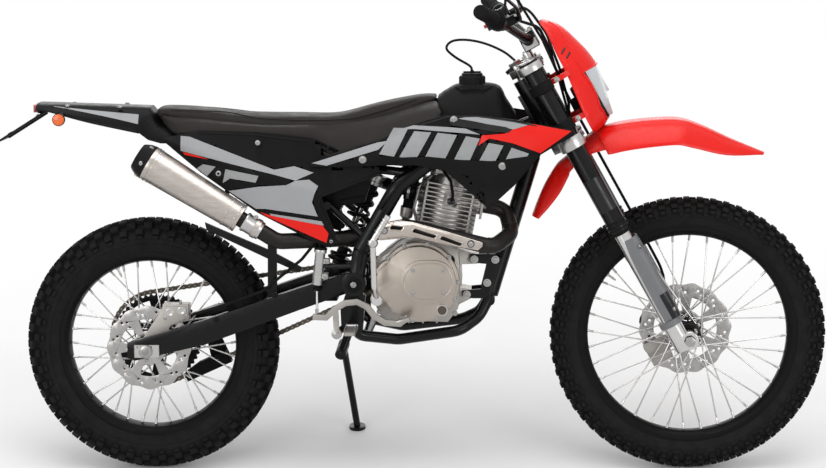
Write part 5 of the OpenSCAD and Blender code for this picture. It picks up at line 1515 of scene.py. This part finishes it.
def make_lever_details():
    piece = Piece("lever_details", "chassis")
    # Ribbed tips of the brake pedal and the gear lever
    for k in range(6):
        x = 643 + k * 5.4
        piece.box((x, -171.5, 411 + (x - 640) * 0.28), (x + 2.2, -151, 416 + (x - 640) * 0.28),
                  "steel", chamfer=0.4)
    piece.turned([(0, 12), (3, 12), (4, 9), (4, 7), (8, 7), (9, 5)], (489, -164, 378), (0, -1, 0),
                 "bolt", 24)
    piece.turned([(0, 8.6), (24, 8.6), (25, 7)], (772, 146, 432), (0, 1, 0), "rubber", 24)
    # Kick lever: pinch bolt, knuckle screw and the folding foot's ribs
    piece.bolt((600, -154, 462), (0.6, 0, 0.5), 5, "bolt", 6)
    piece.turned([(0, 9), (2, 9), (3, 6)], (585, -201, 612), (0, -1, 0), "machined", 24)
    for k in range(5):
        t = k / 5
        at = np.array([600 + 20 * t, -192 - 2 * t, 642 + 34 * t])
        piece.turned([(-1.4, 8.2), (-1, 9), (1, 9), (1.4, 8.2)], at, (40, -4, 64), "polished", 24)
    # Rear master cylinder: ears, bolts, rod end, hose
    up = unit(np.array([9, 0, 81]))
    low = np.array([440, -134, 499])
    for s in (22, 60):
        at = low + up * s
        piece.slab([(at[0] + 4, at[2] - 7), (at[0] + 26, at[2] - 7), (at[0] + 26, at[2] + 7),
                    (at[0] + 4, at[2] + 7)], -142, -126, "machined", chamfer=2)
        piece.bolt(at + np.array([19, -8, 0]), (0, -1, 0), 4.6, "bolt", 4)
        piece.turned([(-1.2, 13.6), (1.2, 13.6)], at, up, "machined", 28)
    for k in range(5):
        piece.turned([(-1.6, 9.2), (0, 10.4), (1.6, 9.2)], low - up * (2 + k * 3), up, "rubber", 24)
    piece.turned([(0, 5), (9, 5)], (440, -156, 440), (0, 0, -1), "bolt", 6)
    piece.tube([(449, -134, 590), (446, -128, 616), (400, -118, 560), (300, -120, 480),
                (190, -121, 440), (120, -116, 420)], 4, "rubber", 10, 40)
    piece.turned([(0, 16.4), (4, 16.4), (5, 14)], (450, -134, 588), up, "black_plastic", 28)
    # Rear calliper: pistons, pins and bleed screw
    for x, z in ((58, 94), (88, 98)):
        piece.turned([(0, 11), (2, 11), (3, 8.5), (2.4, 7)], (x, -88.4, REAR_R + z), (0, -1, 0),
                     "machined", 28)
    piece.bolt((46, -88.4, REAR_R + 80), (0, -1, 0), 4.6, "bolt", 4)
    piece.bolt((100, -88.4, REAR_R + 84), (0, -1, 0), 4.6, "bolt", 4)
    piece.turned([(0, 3), (8, 3), (9, 2)], (84, -72, REAR_R + 114), (0, 0, 1), "bolt", 10)
    piece.build(slot=SLOTS["foot_levers"])


def make_plate_details():
    piece = Piece("plate_bracket_details", "chassis")
    tilt = Matrix.Translation((-377, 0, 852)) @ Matrix.Rotation(math.radians(-31.5), 4, "Y")
    for s in (1, -1):
        piece.tube([(4, s * 38, 2), (146, s * 38, 2)], 2.6, "black_plastic", 8, turn=tilt)
        piece.turned([(0, 7), (1.6, 7), (2.2, 5.4), (2.2, 3)], (35, s * 25, 4), (0, 0, 1),
                     "rubber", 24, turn=tilt)
        piece.bolt((120, s * 26, 4), (0, 0, 1), 4, "bolt", 3, turn=tilt)
    piece.tube([(20, 0, -1), (140, 0, -1)], 4, "black_plastic", 8, turn=tilt)
    piece.build(slot=SLOTS["plate_bracket"])


# Fork, bars and controls, in the head frame
BAR_HALF = 400
BAR_WAY = unit([-33.7, 210, 70.6])
BAR_END = np.array([2.3, BAR_HALF, 292.6])
BAR = [np.array([59.6, 60, 166]), np.array([59, 90, 168]), BAR_END - BAR_WAY * 224, BAR_END]
GRIP_LEN = 118


def mirror(p, s):
    return np.array([p[0], p[1] * s, p[2]])


def make_fork_details():
    piece = Piece("fork_details", "steering", HEAD_TO_ROW)
    for s in (1, -1):
        x, y = FORK_X, s * FORK_Y
        piece.turned([(0, 24), (1.5, 25.4), (5, 25.4), (6, 22), (6, 14), (9, 14), (10, 12)],
                     (x, y, 118), (0, 0, 1), "machined", 48)
        piece.turned([(0, 6), (5, 6), (6, 4.6)], (x, y, 128), (0, 0, 1), "bolt", 6)
        # Pinch bolts of the clamps
        for z in (UPPER_CLAMP_Z - 1, LOWER_CLAMP_Z - 8, LOWER_CLAMP_Z + 8):
            piece.bolt((x + 30, s * (FORK_Y - 27), z), (1, 0, 0), 4.8, "bolt", 5)
            piece.turned([(-14, 7.5), (0, 7)], (x + 30, s * (FORK_Y - 27), z), (1, 0, 0),
                         "machined", 20)
        # Seals and wipers at the foot of the outer tube
        for z in (-352, -343, -333):
            piece.turned([(-3, 26.6), (-2, 28), (2, 28), (3, 26.6)], (x, y, z), (0, 0, 1),
                         "black_plastic", 40)
        piece.turned([(0, 23), (3, 26.5), (7, 26.5), (8, 25)], (x, y, -368), (0, 0, 1), "rubber",
                     40)
        # Bare bands where the maker's film sits on the tube
        piece.turned([(0, 25.3), (90, 25.3)], (x, y, -300), (0, 0, 1), "gloss_black", 48)
    piece.turned([(0, 17), (2, 18), (10, 18), (11, 15)], (0, 0, UPPER_CLAMP_Z + 18), (0, 0, 1),
                 "machined", 6)
    # Key switch, and the red cover between the clamp and the bar
    piece.slab([(30, UPPER_CLAMP_Z + 10.4), (48, UPPER_CLAMP_Z + 10.4), (50, UPPER_CLAMP_Z + 24),
                (34, UPPER_CLAMP_Z + 30)], -28, 28, "red_plastic", chamfer=3)
    piece.turned([(0, 14), (9, 14), (10, 12.6), (10, 3)], (-16, 0, UPPER_CLAMP_Z + 9), (-0.2, 0, 1),
                 "gloss_black", 28)
    piece.build(slot=SLOTS["triple_clamps"])


def make_guards():
    piece = Piece("fork_guards_moulded", "steering", HEAD_TO_ROW)
    rows = spline([[70, 20, 30, 12], [140, 26, 30, 12], [240, 27, 30, 10], [300, 22, 30, 4]], 6)
    for s in (1, -1):
        rings = []
        for z, half, ahead, behind in rows:
            outer = [(ahead - 6, -half), (ahead, -half * 0.5), (ahead + 2, half * 0.4),
                     (ahead - 6, half + 4), (-behind, half + 6)]
            inner = [(-behind, half + 3), (ahead - 9, half + 1), (ahead - 2, half * 0.3),
                     (ahead - 4, -half * 0.5), (ahead - 8, 3 - half)]
            smooth_outer = spline([(a, b) for a, b in outer], 4)
            smooth_inner = spline([(a, b) for a, b in inner], 4)
            rings.append([(FORK_X + a, s * (FORK_Y + b), AXLE_Z + z)
                          for a, b in list(smooth_outer) + list(smooth_inner)])
        piece.rings(rings, "grey_plastic")
        # Black lower field and a raised rib
        strip = [[(p[0] + 0.6, p[1] + s * 0.5, p[2]) for p in ring[5:15]] for ring in rings[:7]]
        piece.rings(strip, "gloss_black", closed=False, caps=False)
        piece.tube([np.array(ring[9]) + np.array([0.6, 0, 0]) for ring in rings[1:-1]], 1.4,
                   "grey_plastic", 8)
        ring_at = AXLE_Z + 54
        piece.turned([(0, SLIDER_R + 9), (15.7, SLIDER_R + 9)], (FORK_X, s * FORK_Y, ring_at),
                     (0, 0, 1), "grey_plastic", 48)
        for z in (96, 270):
            i = int(np.argmin(abs(rows[:, 0] - z)))
            p = np.array(rings[i][12])
            piece.bolt(p + np.array([0.5, 0, 0]), (0.9, s * 0.5, 0), 4.6, "bolt", 3)
    piece.build("fork_guards", angle=38)


def make_bar_details():
    piece = Piece("bar_details", "steering", HEAD_TO_ROW)
    # Bar clamps, the blocks under them and their bolts
    for s in (1, -1):
        for x in (46, 73):
            piece.bolt((x, s * 45, BAR[0][2] + 17.4), (0, 0, 1), 5, "bolt", 5)
        piece.box((40, 33 if s > 0 else -57, BAR[0][2] + 10), (79.5, 57 if s > 0 else -33,
                                                               BAR[0][2] + 17.6), "machined",
                  chamfer=2)
        piece.box((39, 31.4 if s > 0 else -58.6, UPPER_CLAMP_Z + 37),
                  (80.2, 58.6 if s > 0 else -31.4, BAR[0][2] - 1), "machined", chamfer=3)
        # Grip ribs and end flange
        for k in range(19):
            at = mirror(BAR[3] - BAR_WAY * (8 + k * 5.6), s)
            piece.turned([(-1.6, 16.4), (-0.9, 17.5), (0.9, 17.5), (1.6, 16.4)], at,
                         mirror(BAR_WAY, s), "rubber", 28)
        piece.turned([(0, 17), (3, 16), (4, 12)], mirror(BAR[3] - BAR_WAY * 1, s),
                     mirror(BAR_WAY, s), "rubber", 32)
        # Switch cluster
        at = mirror(BAR[3] - BAR_WAY * (GRIP_LEN + 14), s)
        piece.turned([(-8, 19.5), (-7, 21), (7, 21), (8, 19.5)], at, mirror(BAR_WAY, s),
                     "black_plastic", 32)
        piece.box((at[0] - 28, at[1] - 10, at[2] - 12), (at[0] - 14, at[1] + 10, at[2] + 10),
                  "gloss_black", chamfer=3)
        piece.turned([(0, 4.5), (5, 4.5), (6, 3.4)], (at[0] - 28, at[1], at[2] + 2), (-1, 0, 0),
                     "red_lens" if s < 0 else "amber_lens", 16)
        # Lever: pivot bolt, adjuster and rubber boot
        c = mirror(BAR[3] - BAR_WAY * (GRIP_LEN + 60), s)
        piece.turned([(-12, 7.5), (9, 7.5), (10, 6)], c + np.array([32, 0, -4]), (0, 0, 1), "bolt",
                     20)
        piece.turned([(0, 7), (4, 8), (10, 7), (18, 6), (26, 4.6)], c + np.array([24, -s * 14, -2]),
                     (0.4, -s, 0.1), "rubber", 20)
    # Front brake reservoir with its cap on the right
    c = mirror(BAR[3] - BAR_WAY * (GRIP_LEN + 52), -1)
    piece.box((c[0] - 4, c[1] - 22, c[2] + 12), (c[0] + 30, c[1] + 22, c[2] + 30), "satin_black",
              chamfer=4)
    piece.box((c[0] - 5, c[1] - 23, c[2] + 29), (c[0] + 31, c[1] + 23, c[2] + 34), "gloss_black",
              chamfer=2)
    for dx in (3, 23):
        piece.bolt((c[0] + dx, c[1] - 16, c[2] + 34), (0, 0, 1), 2.6, "bolt", 2)
    # Clutch and throttle cables down to the frame
    left = mirror(BAR[3] - BAR_WAY * (GRIP_LEN + 60), 1) + np.array([30, -40, -4])
    piece.tube([left, left + np.array([34, -70, 6]), (104, 120, 150), (92, 66, 60), (70, 40, -30),
                (40, 34, -84)], 3.6, "rubber", 10, 40)
    right = mirror(BAR[3] - BAR_WAY * (GRIP_LEN + 16), -1) + np.array([20, 0, 2])
    piece.tube([right, right + np.array([40, 20, 60]), (88, -190, 262), (92, -110, 150),
                (84, -60, 60), (60, -38, -40), (30, -34, -86)], 3.4, "rubber", 10, 46)
    piece.turned([(0, 9), (18, 8), (26, 5)], right - np.array([4, 0, 0]), (0.6, 0.2, 0.7),
                 "black_plastic", 20)
    piece.build(slot=SLOTS["bar_controls"])


def make_front_brake_details():
    piece = Piece("front_brake_details", "steering", FRONT_AXLE)
    for x, z in ((-98, -28), (-98, -4)):
        piece.turned([(0, 12), (2, 12), (3, 9), (2.4, 7)], (x, 86.2, z), (0, 1, 0), "machined", 28)
    for z in (-40, 10):
        piece.bolt((-76, 86.2, z), (0, 1, 0), 4.6, "bolt", 4)
    piece.turned([(0, 3), (8, 3), (9, 2)], (-104, 66, 16), (0, 0, 1), "bolt", 10)
    for s in (1, -1):
        piece.turned([(0, 14), (5, 14), (6, 11)], (0, s * 127, 0), (0, s, 0), "bolt", 6)
        for z in (-10, 10):
            piece.bolt((23, s * 82, z), (1, 0, 0), 4.2, "bolt", 4)
            piece.bolt((23, s * 104, z), (1, 0, 0), 4.2, "bolt", 4)
    piece.build(slot=SLOTS["front_caliper"])


# Stage
def background_share(tree):
    """1 for what the camera, mirrors and glass see, 0 for the light that falls on the object."""
    path = tree.nodes.new("ShaderNodeLightPath")
    last = path.outputs["Is Camera Ray"]
    for name in ("Is Glossy Ray", "Is Transmission Ray"):
        largest = tree.nodes.new("ShaderNodeMath")
        largest.operation = "MAXIMUM"
        tree.links.new(last, largest.inputs[0])
        tree.links.new(path.outputs[name], largest.inputs[1])
        last = largest.outputs[0]
    return last


def make_floor():
    """A pale floor that fades to white away from the bike and keeps its shadow."""
    mesh = bpy.data.meshes.new("floor")
    rings, n = (0.0, 0.6, 1.4, 3, 8, 40), 96
    verts = [(0, 0, 0)] + [(r * math.cos(a), r * math.sin(a), 0) for r in rings[1:]
                           for a in np.linspace(0, 2 * math.pi, n, endpoint=False)]
    faces = [[0, 1 + k, 1 + (k + 1) % n] for k in range(n)]
    for i in range(len(rings) - 2):
        faces += [[1 + i * n + k, 1 + (i + 1) * n + k, 1 + (i + 1) * n + (k + 1) % n,
                   1 + i * n + (k + 1) % n] for k in range(n)]
    mesh.from_pydata(verts, [], faces)
    floor = bpy.data.objects.new("floor", mesh)
    bpy.context.collection.objects.link(floor)
    material, tree, bsdf = new_material("floor")
    drift = noise(tree, 2.0)
    tree.links.new(ramp(tree, drift, grey(0.86), grey(0.9)), bsdf.inputs["Base Color"])
    bsdf.inputs["Roughness"].default_value = 0.85
    bsdf.inputs["Specular IOR Level"].default_value = 0.0
    white = tree.nodes.new("ShaderNodeEmission")
    white.inputs["Color"].default_value = grey(1)
    coords = tree.nodes.new("ShaderNodeTexCoord")
    scaled = tree.nodes.new("ShaderNodeMapping")
    scaled.inputs["Scale"].default_value = (1 / 2.6, 1 / 1.9, 1)
    far = tree.nodes.new("ShaderNodeVectorMath")
    far.operation = "LENGTH"
    fade = tree.nodes.new("ShaderNodeMapRange")
    fade.interpolation_type = "SMOOTHSTEP"
    fade.inputs["From Min"].default_value = 0.28
    fade.inputs["From Max"].default_value = 0.95
    share = tree.nodes.new("ShaderNodeMath")
    share.operation = "MULTIPLY"
    mix = tree.nodes.new("ShaderNodeMixShader")
    link = tree.links.new
    link(coords.outputs["Object"], scaled.inputs["Vector"])
    link(scaled.outputs["Vector"], far.inputs[0])
    link(far.outputs["Value"], fade.inputs["Value"])
    link(background_share(tree), share.inputs[0])
    link(fade.outputs["Result"], share.inputs[1])
    link(share.outputs[0], mix.inputs["Fac"])
    link(bsdf.outputs["BSDF"], mix.inputs[1])
    link(white.outputs["Emission"], mix.inputs[2])
    link(mix.outputs["Shader"], tree.nodes["Material Output"].inputs["Surface"])
    mesh.materials.append(material)


def make_world():
    world = bpy.data.worlds.new("studio")
    world.use_nodes = True
    bpy.context.scene.world = world
    tree = world.node_tree
    soft = tree.nodes["Background"]
    soft.inputs["Color"].default_value = grey(1)
    soft.inputs["Strength"].default_value = WORLD_LIGHT
    white = tree.nodes.new("ShaderNodeBackground")
    white.inputs["Strength"].default_value = 1.0
    white.inputs["Color"].default_value = grey(1)
    mix = tree.nodes.new("ShaderNodeMixShader")
    link = tree.links.new
    link(background_share(tree), mix.inputs["Fac"])
    link(soft.outputs["Background"], mix.inputs[1])
    link(white.outputs["Background"], mix.inputs[2])
    link(mix.outputs["Shader"], tree.nodes["World Output"].inputs["Surface"])


def make_lamp(name, at, size, power, target=(0, 0, 0.5)):
    data = bpy.data.lights.new(name, "AREA")
    data.shape = "RECTANGLE"
    data.size, data.size_y = size
    data.energy = power
    lamp = bpy.data.objects.new(name, data)
    bpy.context.collection.objects.link(lamp)
    lamp.location = at
    lamp.rotation_euler = (Vector(target) - Vector(at)).to_track_quat("-Z", "Y").to_euler()


WORLD_LIGHT = 0.45


def make_stage():
    make_floor()
    make_world()
    make_lamp("overhead", (0, -0.4, 3.6), (4.2, 2.6), 84)
    make_lamp("front_left_softbox", (-2.6, -3.6, 2.2), (2.2, 1.8), 44)
    make_lamp("front_right_softbox", (3.0, -3.2, 1.8), (1.8, 1.8), 40)
    make_lamp("far_side", (0, 3.8, 2.2), (3.6, 2.0), 48)


make_camera()
dress_nodes()
make_shrouds()
make_side_panels()
make_rear_fender()
make_tank()
make_fuel_cap()
make_front_fender()
make_mask()
make_headlamp()
make_tail()
make_wheels()
make_chain()
make_seat()
make_seat_skirt()
make_engine_details()
make_cylinder_details()
make_exhaust()
make_shock()
make_air_intake()
make_frame_details()
make_swingarm_details()
make_footpegs()
make_lever_details()
make_plate_details()
make_fork_details()
make_guards()
make_bar_details()
make_front_brake_details()
make_stage()

bpy.context.scene.view_settings.view_transform = "Standard"
